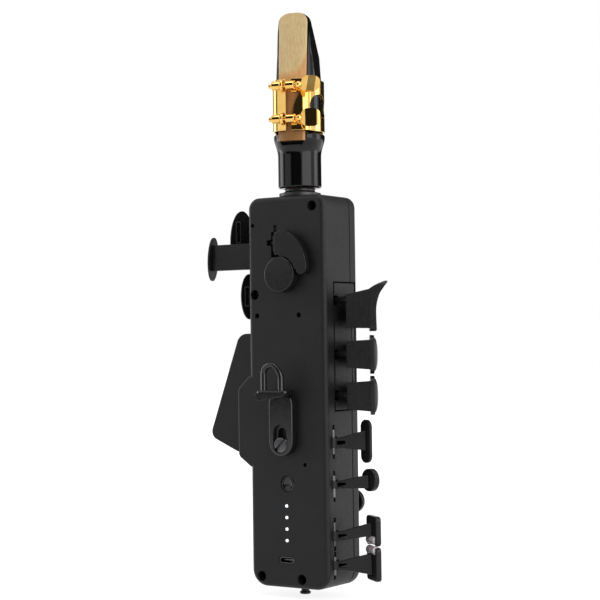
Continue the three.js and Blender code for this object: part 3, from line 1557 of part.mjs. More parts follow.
function sideKey(key) {
  const across = sideCapWidth - capRimThickness / 2;
  const farOut = sideReachOut - across * Math.sin(sideCapTurn);
  const farBack = sideReachBack - across * Math.cos(sideCapTurn);
  const outline = [
    [blockNeck - neckHalfThickness, neckHalfThickness],
    [sideStandOff, farBack],
    [sideStandOff, sideReachBack],
    [sideReachOut, sideReachBack],
    [farOut, farBack],
    [blockNeck, -neckHalfThickness],
    [blockNeck - neckHalfThickness, -neckHalfThickness],
  ];
  const flare = alongY(new THREE.Shape([
    new THREE.Vector2(0, key.low),
    new THREE.Vector2(sideStandOff, key.low),
    new THREE.Vector2(sideReachOut, key.low - key.flareLow),
    new THREE.Vector2(sideReachOut, key.high + key.flareHigh),
    new THREE.Vector2(sideStandOff, key.high),
    new THREE.Vector2(0, key.high),
  ]), -sideReachBack - overrun, overrun);
  const body = planBlock(outline, 1, key.low - key.flareLow, key.high + key.flareHigh)
    .intersect(flare);
  const capCentre = [(sideReachOut + farOut) / 2, (sideReachBack + farBack) / 2];
  const profile = key.horn ? hornProfile(key) : roundedCapProfile(key, capRimThickness, capBulge);
  const capOutline = rectangle(-sideCapWidth / 2, sideCapWidth / 2, key.capLow, key.capHigh,
    capCornerRadius);
  const cap = moved(capSolid(profile, sideCapWidth, capOutline), 1, sideCapTurn, capCentre);
  return joined([body, cap, knuckleParts(key, 1), plunger(key, 1, sideStandOff)])
    .subtract(knuckleBore(key));
}

// The straight palm key has a block like the side keys, the others an angled arm
function palmKey(key) {
  const across = key.capWidth - palmRim;
  const near = [key.reachOut, key.reachBack];
  const far = [near[0] - across * Math.sin(key.turn), near[1] - across * Math.cos(key.turn)];
  const arm = key.legOut ? straightPalmArm(key) : angledPalmArm(key, near, far);
  const cap = leaned(
    capSolid(roundedCapProfile(key, palmRim, palmBulge), key.capWidth,
      ovalOutline(key.capWidth, key.capLow, key.capHigh, key.widestZ)),
    key.lean, (key.capLow + key.capHigh) / 2,
  );
  const capCentre = [(near[0] + far[0]) / 2, (near[1] + far[1]) / 2];
  const parts = [arm, moved(cap, -1, key.turn, capCentre), knuckleParts(key, -1)];
  if (key.plungerZ) parts.push(plunger(key, -1, key.legOut));
  return joined(parts).subtract(knuckleBore(key));
}

function straightPalmArm(key) {
  return planBlock([
    [key.legOut, -neckHalfThickness],
    [key.legOut, palmLegBack],
    [key.reachOut, palmLegBack],
    [key.reachOut, palmLegBack - palmLegThickness],
    [key.legOut + palmArmThickness, palmLegBack - palmLegThickness],
    [key.legOut + palmArmThickness, -neckHalfThickness],
  ], -1, key.low, key.high);
}

// An arm that runs out to the cap and along it, hollowed from the end that faces backwards
function angledPalmArm(key, near, [farOut, farBack]) {
  const nearOut = near[0] - key.armInset * Math.sin(key.turn);
  const nearBack = near[1] - key.armInset * Math.cos(key.turn);
  const arm = planBlock([
    [blockNeck - neckHalfThickness, neckHalfThickness],
    [farOut - palmArmThickness, farBack + palmArmThickness / 2],
    [nearOut - palmArmThickness, nearBack],
    [nearOut, nearBack],
    [farOut, farBack - palmArmThickness / 2],
    [blockNeck - neckHalfThickness, -neckHalfThickness],
  ], -1, key.low, key.high);
  const pocket = planBlock([
    [-palmArmThickness + palmPocketWall, overrun],
    [-palmPocketWall, overrun],
    [-palmPocketWall, -palmPocketDepth],
    [-palmArmThickness + palmPocketWall, -palmPocketDepth],
  ], 1, key.low + palmPocketWall, key.high - palmPocketWall);
  return arm.subtract(moved(pocket, -1, key.turn, [nearOut, nearBack]));
}

// Lower right keys, each with its turning axis through the origin
function lowerKey(key) {
  const elevation = new THREE.Shape([
    new THREE.Vector2(0, key.rootLow),
    new THREE.Vector2(lowerNotchFrom, key.rootLow),
    new THREE.Vector2(key.reach, key.tipLow),
    new THREE.Vector2(key.reach, key.tipHigh),
    new THREE.Vector2(lowerNotchFrom, key.rootHigh),
    new THREE.Vector2(0, key.rootHigh),
  ]);
  const half = lowerArmThickness / 2;
  const rootMiddle = (key.rootLow + key.rootHigh) / 2;
  const notch = block(
    lowerNotchFrom, lowerNotchFrom + lowerNotchLength, -half - overrun, -half + lowerNotchDepth,
    rootMiddle - lowerNotchHeight / 2, rootMiddle + lowerNotchHeight / 2,
  );
  const arm = moved(alongY(elevation, -half, half).subtract(notch), 1, lowerArmTurn, [0, 0]);
  const knuckle = rodZ(0, 0, lowerKnuckleRadius, key.rootLow, key.rootHigh, finePinSteps);
  const finger = block(
    -lowerFingerLength, 0, -lowerFingerThickness / 2, lowerFingerThickness / 2,
    rootMiddle - lowerFingerHeight / 2, rootMiddle + lowerFingerHeight / 2,
  );
  const corner = key.cornerShare * Math.min(key.plateWidth, key.plateHigh - key.plateLow);
  const plate = alongY(
    rectangle(-key.plateWidth / 2, key.plateWidth / 2, key.plateLow, key.plateHigh, corner),
    0, key.plateThickness, key.plateThickness * touchEdgeShare,
  );
  const bore = rodZ(0, 0, lowerPinRadius + runGap, key.rootLow - overrun, key.rootHigh + overrun,
    finePinSteps);
  const solid = joined([arm, knuckle, finger, atTouch(key, plate)]).subtract(bore);
  return key.rollerSide ? withRollerPin(key, solid) : solid;
}

// The two rollers lie against each other where the two plates meet
function rollerHeight(key) {
  return rollerMeetZ - key.rollerSide * (rollerRadius + rollerGap / 2);
}

// Cuts the room for a roller at the edge of the touch plate, and puts the roller's pin across it
function withRollerPin(key, solid) {
  const clear = rollerRadius + runGap;
  const half = key.plateWidth / 2;
  const axisY = rollerInset + rollerPinRadius;
  const axisZ = rollerHeight(key);
  const room = rodX(axisY, axisZ, clear, -half + rollerLug, half - rollerLug);
  const mouth = block(
    -half + rollerLug, half - rollerLug, axisY - clear, axisY + clear,
    axisZ + Math.min(0, key.rollerSide) * 2 * clear,
    axisZ + Math.max(0, key.rollerSide) * 2 * clear,
  );
  const pin = rodX(axisY, axisZ, rollerPinRadius, -half + rollerLug / 2, half - rollerLug / 2,
    finePinSteps);
  return solid.subtract(atTouch(key, room.add(mouth))).add(atTouch(key, pin));
}

function touchPlace(key) {
  return [
    key.reach * Math.cos(lowerArmTurn),
    -(key.reach - lowerArmThickness / 4) * Math.sin(lowerArmTurn),
  ];
}

function atTouch(key, solid) {
  return moved(solid, 1, key.turn, touchPlace(key));
}

function roller(key) {
  const half = key.plateWidth / 2 - rollerLug - runGap;
  const drum = rodX(0, 0, rollerRadius, -half, half);
  return drum.subtract(rodX(0, 0, rollerPinRadius + runGap, -half - overrun, half + overrun,
    finePinSteps));
}

// Left little finger table
function tablePlate() {
  const top = tableTopHeightShare * casingHeight;
  const foot = tableFootHeightShare * casingHeight;
  const outline = roundedOutline([
    [-halfWidth - seatGap, foot],
    [-halfWidth - seatGap, top],
    [-halfWidth - tableTopReachShare * tableReach, top, tableCornerRadius],
    [-halfWidth - tableReach, tableCornerHeightShare * casingHeight, tableCornerRadius],
    [-halfWidth - tableFootReachShare * tableReach, foot, tableCornerRadius / 2],
  ]);
  const from = bumpFrontY + seatGap;
  return alongY(outline, from, from + tableThickness);
}

function tableKey(touch) {
  const from = -tableTouchThickness / 2;
  const outer = -halfWidth - touch.reachShare * tableReach;
  const plate = alongY(
    rectangle(outer - tableRodX, tableTouchInnerX - tableRodX, touch.low, touch.high,
      tableTouchRadius),
    from, from + tableTouchThickness, tableTouchThickness * tableTouchEdgeShare,
  );
  const middle = (touch.low + touch.high) / 2;
  const half = (touch.high - touch.low) / 2 - tableTouchGap;
  const arm = block(tableTouchInnerX - tableRodX - tableTouchRadius, 0, -tableArmHalf, tableArmHalf,
    middle - half / 2, middle + half / 2);
  const barrel = rodZ(0, 0, tableBarrelRadius, middle - half, middle + half, finePinSteps);
  const bore = rodZ(0, 0, tableRodRadius + runGap, touch.low, touch.high, finePinSteps);
  return joined([plate, arm, barrel]).subtract(bore);
}

// Main stack keys
function stackKey({ reach, radius }) {
  const barrel = rodZ(0, 0, stackBarrelRadius, -stackBarrelLength / 2, stackBarrelLength / 2,
    finePinSteps);
  const arm = block(0, reach, -stackArmThickness / 2, stackArmThickness / 2,
    -stackArmHeight / 2, stackArmHeight / 2);
  const touch = rodY(reach, 0, radius, 0, stackTouchThickness);
  const dish = rodY(reach, 0, radius - stackTouchThickness / 2, stackTouchThickness - stackTouchDish,
    stackTouchThickness + overrun);
  const bore = rodZ(0, 0, stackRodRadius + runGap, -stackBarrelLength, stackBarrelLength,
    finePinSteps);
  return joined([barrel, arm, touch]).subtract(dish).subtract(bore);
}

// Assembly, grouped as the object comes apart on a bench
function casingGroup() {
  const group = new THREE.Group();
  group.add(piece('back_shell', backShell(), casingBlack));
  group.add(piece('front_shell', frontShell(), casingBlack));
  for (const screw of caseScrews) group.add(piece(screw.name, caseScrew(screw, false), screwBlack));
  group.add(piece(bedScrew.name, caseScrew(bedScrew, true), screwBlack));
  group.add(piece('drain_plug', drainPlug(), casingBlack));
  return group;
}

function electronicsGroup() {
  const group = new THREE.Group();
  group.add(piece('mainboard', mainboard(), boardGreen));
  group.add(piece('battery', battery(), batterySilver));
  group.add(piece('pressure_sensor', pressureSensor(), collarGrey));
  group.add(piece('breath_tube', breathTube(), siliconeClear));
  group.add(piece('power_button', powerButton(), hookBlack));
  group.add(piece('status_light_guide', lightGuide(), lightWhite));
  group.add(piece('usb_c_socket', usbSocket(), steel));
  return group;
}

function mouthpieceGroup() {
  const group = new THREE.Group();
  group.add(piece('neck_collar', neckCollar(), collarGrey));
  group.add(piece('neck_cork', neckCork(), corkTan));
  const turnedGroup = new THREE.Group();
  turnedGroup.rotation.z = mouthpieceTurn;
  turnedGroup.add(piece('mouthpiece', mouthpiece(), mouthpieceBlack));
  turnedGroup.add(piece('reed', reed(), reedCane));
  turnedGroup.add(piece('ligature_band', ligatureBand(), gold));
  ['ligature_screw_lower', 'ligature_screw_upper'].forEach((name, index) => {
    const screw = piece(name, ligatureScrew(), gold);
    screw.position.set(0, ligatureScrewY, ligatureScrewZs[index]);
    screw.rotation.x = index * upperScrewTurn;
    turnedGroup.add(screw);
  });
  group.add(turnedGroup);
  group.position.y = neckY;
  return group;
}

function thumbGroup() {
  const group = new THREE.Group();
  group.add(piece('thumb_rest', thumbRest(), keyBlack));
  group.add(piece('octave_key', octaveKey(), keyBlack));
  group.add(piece('octave_axle', rodZ(octaveAxisX, octaveAxisY, octaveAxleRadius, octaveAxleBottom,
    octaveAxleTop, finePinSteps), steel));
  group.add(piece('thumb_hook', thumbHook(), hookBlack));
  const screw = piece('thumb_hook_screw', hookScrew(), screwBlack);
  screw.position.set(hookX, 0, hookScrewZ());
  group.add(screw);
  return group;
}

function blockKeysGroup(side, bedName, bed, rodName, keys, build) {
  const group = new THREE.Group();
  group.add(piece(bedName, bed, casingBlack));
  const onRod = new THREE.Group();
  onRod.position.set(side * blockRodX, blockRodY, 0);
  onRod.add(piece(rodName, blockRod(keys), steel));
  for (const key of keys) onRod.add(piece(key.name, build(key), keyBlack));
  group.add(onRod);
  return group;
}

function lowerKeysGroup() {
  const group = new THREE.Group();
  group.position.set(lowerPinX, lowerPinY, 0);
  for (const key of lowerKeys) {
    group.add(piece(key.name, lowerKey(key), keyBlack));
    group.add(piece(`${key.name}_pin`, rodZ(0, 0, lowerPinRadius, key.pinLow, key.pinHigh,
      finePinSteps), steel));
    if (key.rollerSide) {
      const drum = piece(`${key.name}_roller`, roller(key), pearl);
      const [out, back] = touchPlace(key);
      const inset = rollerInset + rollerPinRadius;
      drum.rotation.z = key.turn;
      drum.position.set(out - inset * Math.sin(key.turn), -back + inset * Math.cos(key.turn),
        rollerHeight(key));
      group.add(drum);
    }
  }
  return group;
}

function tableGroup() {
  const group = new THREE.Group();
  group.add(piece('table_plate', tablePlate(), casingBlack));
  const onRod = new THREE.Group();
  onRod.position.set(tableRodX, tableRodY, 0);
  onRod.add(piece('table_rod', rodZ(0, 0, tableRodRadius, tableRodBottom - tableLugThickness / 2,
    tableRodTop + tableLugThickness / 2, finePinSteps), steel));
  for (const touch of tableTouches) onRod.add(piece(touch.name, tableKey(touch), keyBlack));
  group.add(onRod);
  return group;
}

function stackGroup() {
  const group = new THREE.Group();
  group.position.set(stackRodX, stackRodY, 0);
  group.add(piece('stack_rod', rodZ(0, 0, stackRodRadius, stackRodBottom, stackRodTop,
    finePinSteps), steel));
  for (const key of stackKeys) {
    const mesh = piece(key.name, stackKey(key), keyBlack);
    mesh.position.z = key.z;
    group.add(mesh);
  }
  return group;
}

const instrument = new THREE.Group();
instrument.add(casingGroup());
instrument.add(electronicsGroup());
instrument.add(mouthpieceGroup());
instrument.add(thumbGroup());
instrument.add(blockKeysGroup(1, 'side_key_bed',
  keyBed(1, rightBedThickness, rightBedBottom, rightBedTop, sideKeys),
  'side_key_rod', sideKeys, sideKey));
instrument.add(blockKeysGroup(-1, 'palm_key_bed', palmKeyBed(), 'palm_key_rod', palmKeys, palmKey));
instrument.add(lowerKeysGroup());
instrument.add(tableGroup());
instrument.add(stackGroup());
instrument.position.set(-ringX, -ringY, -ringEyeZ);

export default instrument;
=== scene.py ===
"""Dressed model of a digital wind controller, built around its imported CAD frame.

Every piece is modelled in millimetres on the casing's own axes: X to the player's right, Y from the
player to the front, Z up from the casing's base. Finished pieces are moved to the frame, in metres.
"""

import logging
import math
from dataclasses import dataclass
from enum import Enum
from typing import Iterable, Sequence

import bmesh
import bpy
from mathutils import Matrix, Vector


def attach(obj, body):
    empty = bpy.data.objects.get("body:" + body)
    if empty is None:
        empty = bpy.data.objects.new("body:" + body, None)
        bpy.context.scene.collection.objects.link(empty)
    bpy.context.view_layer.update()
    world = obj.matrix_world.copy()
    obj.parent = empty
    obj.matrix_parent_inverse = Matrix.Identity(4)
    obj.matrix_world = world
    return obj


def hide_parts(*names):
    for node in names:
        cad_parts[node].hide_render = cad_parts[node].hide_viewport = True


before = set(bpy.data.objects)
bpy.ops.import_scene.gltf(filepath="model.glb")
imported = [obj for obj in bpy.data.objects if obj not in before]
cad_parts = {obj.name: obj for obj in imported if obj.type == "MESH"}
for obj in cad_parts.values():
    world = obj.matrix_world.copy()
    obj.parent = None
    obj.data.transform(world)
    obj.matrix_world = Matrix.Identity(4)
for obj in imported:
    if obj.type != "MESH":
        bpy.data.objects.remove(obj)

LOG = logging.getLogger("wind_controller")
MM = 0.001
CASING_ORIGIN = Vector((1.5, 26.4, -105.407))
TO_FRAME = Matrix.Scale(MM, 4) @ Matrix.Translation(CASING_ORIGIN)
SEAT_GAP = 0.3  # between a fixed piece and its seat
RUN_GAP = 0.3  # between a turning piece and its room
OVERRUN = 2.0  # how far a cutter passes the wall that it cuts
TINY = 1e-4  # points nearer than this are one
SMOOTH_ANGLE = math.radians(38)  # edges sharper than this stay sharp
HEIGHT_ONTO_Y = Matrix.Rotation(-math.pi / 2, 4, "X")  # lays a turned piece's axis along Y

Corner = tuple[float, ...]
Point = tuple[float, float]
Place = tuple[float, float, float]


class Axis(Enum):
    """The direction that an outline is carried along."""

    X = Matrix(((0, 0, 1, 0), (1, 0, 0, 0), (0, 1, 0, 0), (0, 0, 0, 1)))
    Y = Matrix(((1, 0, 0, 0), (0, 0, 1, 0), (0, 1, 0, 0), (0, 0, 0, 1)))
    Z = Matrix.Identity(4)


class Boolean(Enum):
    """How two solids are put together."""

    JOIN = "UNION"
    CUT = "DIFFERENCE"
    COMMON = "INTERSECT"


def arc(centre: Point, radius: float, start: float, end: float, steps: int = 16) -> list[Point]:
    """Points along a circular arc.

    Args:
        centre: Middle of the circle.
        radius: Radius in millimetres.
        start: First angle in degrees.
        end: Last angle in degrees.
        steps: Number of stretches.

    Returns:
        The points, both ends included.
    """
    angles = [math.radians(start + (end - start) * n / steps) for n in range(steps + 1)]
    return [(centre[0] + radius * math.cos(a), centre[1] + radius * math.sin(a)) for a in angles]


def curve(points: Sequence[Point], steps: int = 12) -> list[Point]:
    """Points along a Bezier curve of any degree.

    Args:
        points: Its control points.
        steps: Number of stretches.

    Returns:
        The points, both ends included.
    """
    result = []
    for n in range(steps + 1):
        share = n / steps
        row = [Vector(point) for point in points]
        while len(row) > 1:
            row = [a.lerp(b, share) for a, b in zip(row, row[1:])]
        result.append((row[0].x, row[0].y))
    return result


def rectangle(left: float, right: float, low: float, high: float,
              radius: float = 0) -> list[Corner]:
    """The four corners of a rectangle, each rounded alike."""
    return [(right, low, radius), (right, high, radius), (left, high, radius), (left, low, radius)]


def oval(width: float, low: float, high: float, widest: float, steps: int = 28) -> list[Point]:
    """An egg shape about the line x = 0, widest at one height.

    Args:
        width: Greatest width.
        low: Lowest point.
        high: Highest point.
        widest: Height of the greatest width.
        steps: Stretches in each half.

    Returns:
        The outline's points.
    """
    result = []
    for n in range(2 * steps):
        angle = math.pi * n / steps
        tall = high - widest if n < steps else widest - low
        result.append((math.cos(angle) * width / 2, widest + tall * math.sin(angle)))
    return result


def soften(mesh: bmesh.types.BMesh, geom: list, width: float, steps: int,
           affect: str = "EDGES", clamp: bool = True) -> None:
    """Rounds some edges or corners of a mesh.

    Args:
        mesh: The mesh.
        geom: Its edges or vertices to round.
        width: Length that the rounding takes off both sides.
        steps: Stretches across the rounding.
        affect: "EDGES" or "VERTICES".
        clamp: Whether roundings that meet stop at each other.
    """
    bmesh.ops.bevel(mesh, geom=geom, offset=width, offset_type="OFFSET", segments=steps,
                    profile=0.5, affect=affect, clamp_overlap=clamp, material=-1)


def lifted(mesh: bmesh.types.BMesh, face: bmesh.types.BMFace) -> bmesh.types.BMFace:
    """Extrudes one face, and gives the new face over it."""
    grown = bmesh.ops.extrude_face_region(mesh, geom=[face])
    return next(item for item in grown["geom"] if isinstance(item, bmesh.types.BMFace))


class Shape:
    """A closed mesh in the making, in millimetres on the casing's axes."""

    def __init__(self, mesh: bmesh.types.BMesh) -> None:
        """Keeps the mesh and turns its faces outwards."""
        self.mesh = mesh
        bmesh.ops.remove_doubles(mesh, verts=mesh.verts, dist=TINY)
        bmesh.ops.recalc_face_normals(mesh, faces=mesh.faces)

    @classmethod
    def plate(cls, corners: Sequence[Corner], axis: Axis, start: float, end: float,
              edges: tuple[float, float] = (0, 0), arc_steps: int = 8,
              edge_steps: int = 3) -> "Shape":
        """A flat outline with rounded corners, carried along an axis.

        Args:
            corners: Outline points, each with the length its rounding takes off both sides.
            axis: Direction of the thickness.
            start: Where the thickness begins on that axis.
            end: Where it ends.
            edges: Rounding of the rim at the start and at the end.
            arc_steps: Stretches in each rounded corner.
            edge_steps: Stretches across each rounded rim.

        Returns:
            The closed shape.
        """
        mesh = bmesh.new()
        verts = [mesh.verts.new((corner[0], corner[1], 0)) for corner in corners]
        mesh.faces.new(verts)
        for vert, corner in zip(verts, corners):
            if len(corner) > 2 and corner[2] > 0:
                soften(mesh, [vert], corner[2], arc_steps, "VERTICES", False)
        bmesh.ops.remove_doubles(mesh, verts=mesh.verts, dist=TINY)
        grown = bmesh.ops.extrude_face_region(mesh, geom=list(mesh.faces))
        raised = [item for item in grown["geom"] if isinstance(item, bmesh.types.BMVert)]
        bmesh.ops.translate(mesh, verts=raised, vec=(0, 0, end - start))
        bmesh.ops.recalc_face_normals(mesh, faces=mesh.faces)
        for level, edge in zip((0, end - start), edges):
            if edge > 0:
                rim = [e for e in mesh.edges if all(abs(v.co.z - level) < TINY for v in e.verts)]
                soften(mesh, rim, edge, edge_steps)
        shape = cls(mesh)
        along = axis.value.col[2].to_3d() * start
        return shape.placed(Matrix.Translation(along) @ axis.value)

    @classmethod
    def box(cls, low: Place, high: Place, edge: float = 0) -> "Shape":
        """A block between two corners, with rounded edges."""
        mesh = bmesh.new()
        bmesh.ops.create_cube(mesh, size=1)
        size = Vector(high) - Vector(low)
        bmesh.ops.scale(mesh, vec=size, verts=mesh.verts)
        bmesh.ops.translate(mesh, vec=Vector(low) + size / 2, verts=mesh.verts)
        if edge > 0:
            soften(mesh, list(mesh.edges), edge, 2)
        return cls(mesh)

    @classmethod
    def rod(cls, start: Place, end: Place, radius: float, end_radius: float | None = None,
            edge: float = 0, steps: int = 36) -> "Shape":
        """A round bar between two points.

        Args:
            start: Centre of its first end.
            end: Centre of its second end.
            radius: Radius at the start.
            end_radius: Radius at the end, if it tapers.
            edge: Rounding of both rims.
            steps: Sides of its circle.

        Returns:
            The closed bar.
        """
        mesh = bmesh.new()
        way = Vector(end) - Vector(start)
        bmesh.ops.create_cone(mesh, cap_ends=True, segments=steps, radius1=radius,
                              radius2=radius if end_radius is None else end_radius,
                              depth=way.length)
        if edge > 0:
            rims = [e for e in mesh.edges if abs(e.verts[0].co.z - e.verts[1].co.z) < TINY]
            soften(mesh, rims, edge, 3)
        turn = Vector((0, 0, 1)).rotation_difference(way).to_matrix().to_4x4()
        return cls(mesh).placed(Matrix.Translation((Vector(start) + Vector(end)) / 2) @ turn)

    @classmethod
    def turned(cls, profile: Sequence[Point], steps: int = 72) -> "Shape":
        """A profile of radius and height, spun about Z into a closed shape."""
        mesh = bmesh.new()
        verts = [mesh.verts.new((radius, 0, height)) for radius, height in profile]
        edges = [mesh.edges.new(pair) for pair in zip(verts, verts[1:])]
        if profile[0][0] > 0 and profile[-1][0] > 0:
            edges.append(mesh.edges.new((verts[-1], verts[0])))
        bmesh.ops.spin(mesh, geom=verts + edges, cent=(0, 0, 0), axis=(0, 0, 1), dvec=(0, 0, 0),
                       angle=2 * math.pi, steps=steps, use_merge=True, use_duplicate=False)
        return cls(mesh)

    @classmethod
    def tube(cls, path: Sequence[Place], radius: float, steps: int = 24) -> "Shape":
        """A round tube that follows a path.

        Args:
            path: Points on its centre line.
            radius: Radius in millimetres.
            steps: Sides of its circle.

        Returns:
            The closed tube.
        """
        points = [Vector(point) for point in path]
        ways = [(after - before).normalized() for before, after in
                zip([points[0], *points], [*points[1:], points[-1]])]
        mesh = bmesh.new()
        bmesh.ops.create_circle(mesh, cap_ends=True, segments=steps, radius=radius)
        turn = Vector((0, 0, 1)).rotation_difference(ways[0]).to_matrix().to_4x4()
        bmesh.ops.transform(mesh, matrix=Matrix.Translation(points[0]) @ turn, verts=mesh.verts)
        end = next(iter(mesh.faces))
        for before, after, old, new in zip(points, points[1:], ways, ways[1:]):
            end = lifted(mesh, end)
            turn = old.rotation_difference(new).to_matrix().to_4x4()
            move = Matrix.Translation(after) @ turn @ Matrix.Translation(-before)
            bmesh.ops.transform(mesh, matrix=move, verts=end.verts)
        return cls(mesh)

    @classmethod
    def ball(cls, centre: Place, radius: float) -> "Shape":
        """A sphere."""
        mesh = bmesh.new()
        bmesh.ops.create_uvsphere(mesh, u_segments=32, v_segments=20, radius=radius)
        return cls(mesh).placed(Matrix.Translation(centre))

    @classmethod
    def crowned(cls, outline: Sequence[Corner], rim: float, crown: float,
                lip: float) -> "Shape":
        """A touch cap on the plane z = 0: a straight rim, a small step in, then a dome.

        Args:
            outline: Outline points about the cap's own middle.
            rim: Height of the straight rim.
            crown: Height of the dome over the rim.
            lip: Width of the flat step between rim and dome.

        Returns:
            The closed cap.
        """
        steps, edge = 8, 0.25
        mesh = cls.plate(outline, Axis.Z, 0, rim, (0, edge)).mesh
        top = max(mesh.faces, key=lambda face: (face.calc_center_median().z, face.calc_area()))
        middle = top.calc_center_bounds()
        half = max(abs(v.co.x - middle.x) for v in top.verts)
        size = 1.0
        rings = [(1 - lip / half, 0.0)]
        for n in range(1, steps):
            angle = math.pi / 2 * n / steps
            rings.append(((1 - lip / half) * math.cos(angle), crown * math.sin(angle)))
        height = 0.0
        for width, rise in rings:
            top = lifted(mesh, top)
            bmesh.ops.scale(mesh, vec=(width / size, width / size, 1), verts=top.verts,
                            space=Matrix.Translation(-middle))
            bmesh.ops.translate(mesh, vec=(0, 0, rise - height), verts=top.verts)
            size, height = width, rise
        bmesh.ops.poke(mesh, faces=[top])
        peak = max(mesh.verts, key=lambda vert: (vert.co.z, -(vert.co - middle).length))
        peak.co.z = rim + crown
        return cls(mesh)

    def placed(self, matrix: Matrix) -> "Shape":
        """Moves the shape, and keeps its faces outwards if the move mirrors it."""
        bmesh.ops.transform(self.mesh, matrix=matrix, verts=self.mesh.verts)
        if matrix.determinant() < 0:
            bmesh.ops.reverse_faces(self.mesh, faces=self.mesh.faces)
        return self

    def moved(self, x: float, y: float, z: float) -> "Shape":
        """Moves the shape along the three axes."""
        return self.placed(Matrix.Translation((x, y, z)))

    def combined(self, others: Iterable["Shape"], way: Boolean) -> "Shape":
        """Joins, cuts or keeps the common part of this shape and others, one after another.

        Args:
            others: The other shapes.
            way: What to do with them.

        Returns:
            The new shape.
        """
        base = scratch_object(self.mesh)
        tools = [scratch_object(other.mesh) for other in others]
        for tool in tools:
            step = base.modifiers.new("step", "BOOLEAN")
            step.operation = way.value
            step.solver = "EXACT"
            step.object = tool
        result = bmesh.new()
        result.from_object(base, bpy.context.evaluated_depsgraph_get())
        for item in [base, *tools]:
            data = item.data
            bpy.data.objects.remove(item)
            bpy.data.meshes.remove(data)
        bmesh.ops.dissolve_degenerate(result, dist=TINY, edges=result.edges)
        return Shape(result)

    def join(self, *others: "Shape") -> "Shape":
        """This shape and others as one."""
        return self.combined(others, Boolean.JOIN)

    def cut(self, *others: "Shape") -> "Shape":
        """This shape with others taken away."""
        return self.combined(others, Boolean.CUT)

    def common(self, other: "Shape") -> "Shape":
        """Only what this shape shares with another."""
        return self.combined([other], Boolean.COMMON)


def scratch_object(mesh: bmesh.types.BMesh) -> bpy.types.Object:
    """A short-lived object that holds a mesh for a modifier."""
    data = bpy.data.meshes.new("scratch")
    mesh.to_mesh(data)
    item = bpy.data.objects.new("scratch", data)
    bpy.context.scene.collection.objects.link(item)
    return item


def about_z(degrees: float, place: Place = (0, 0, 0)) -> Matrix:
    """A turn about Z followed by a move."""
    return Matrix.Translation(place) @ Matrix.Rotation(math.radians(degrees), 4, "Z")


# Finishes


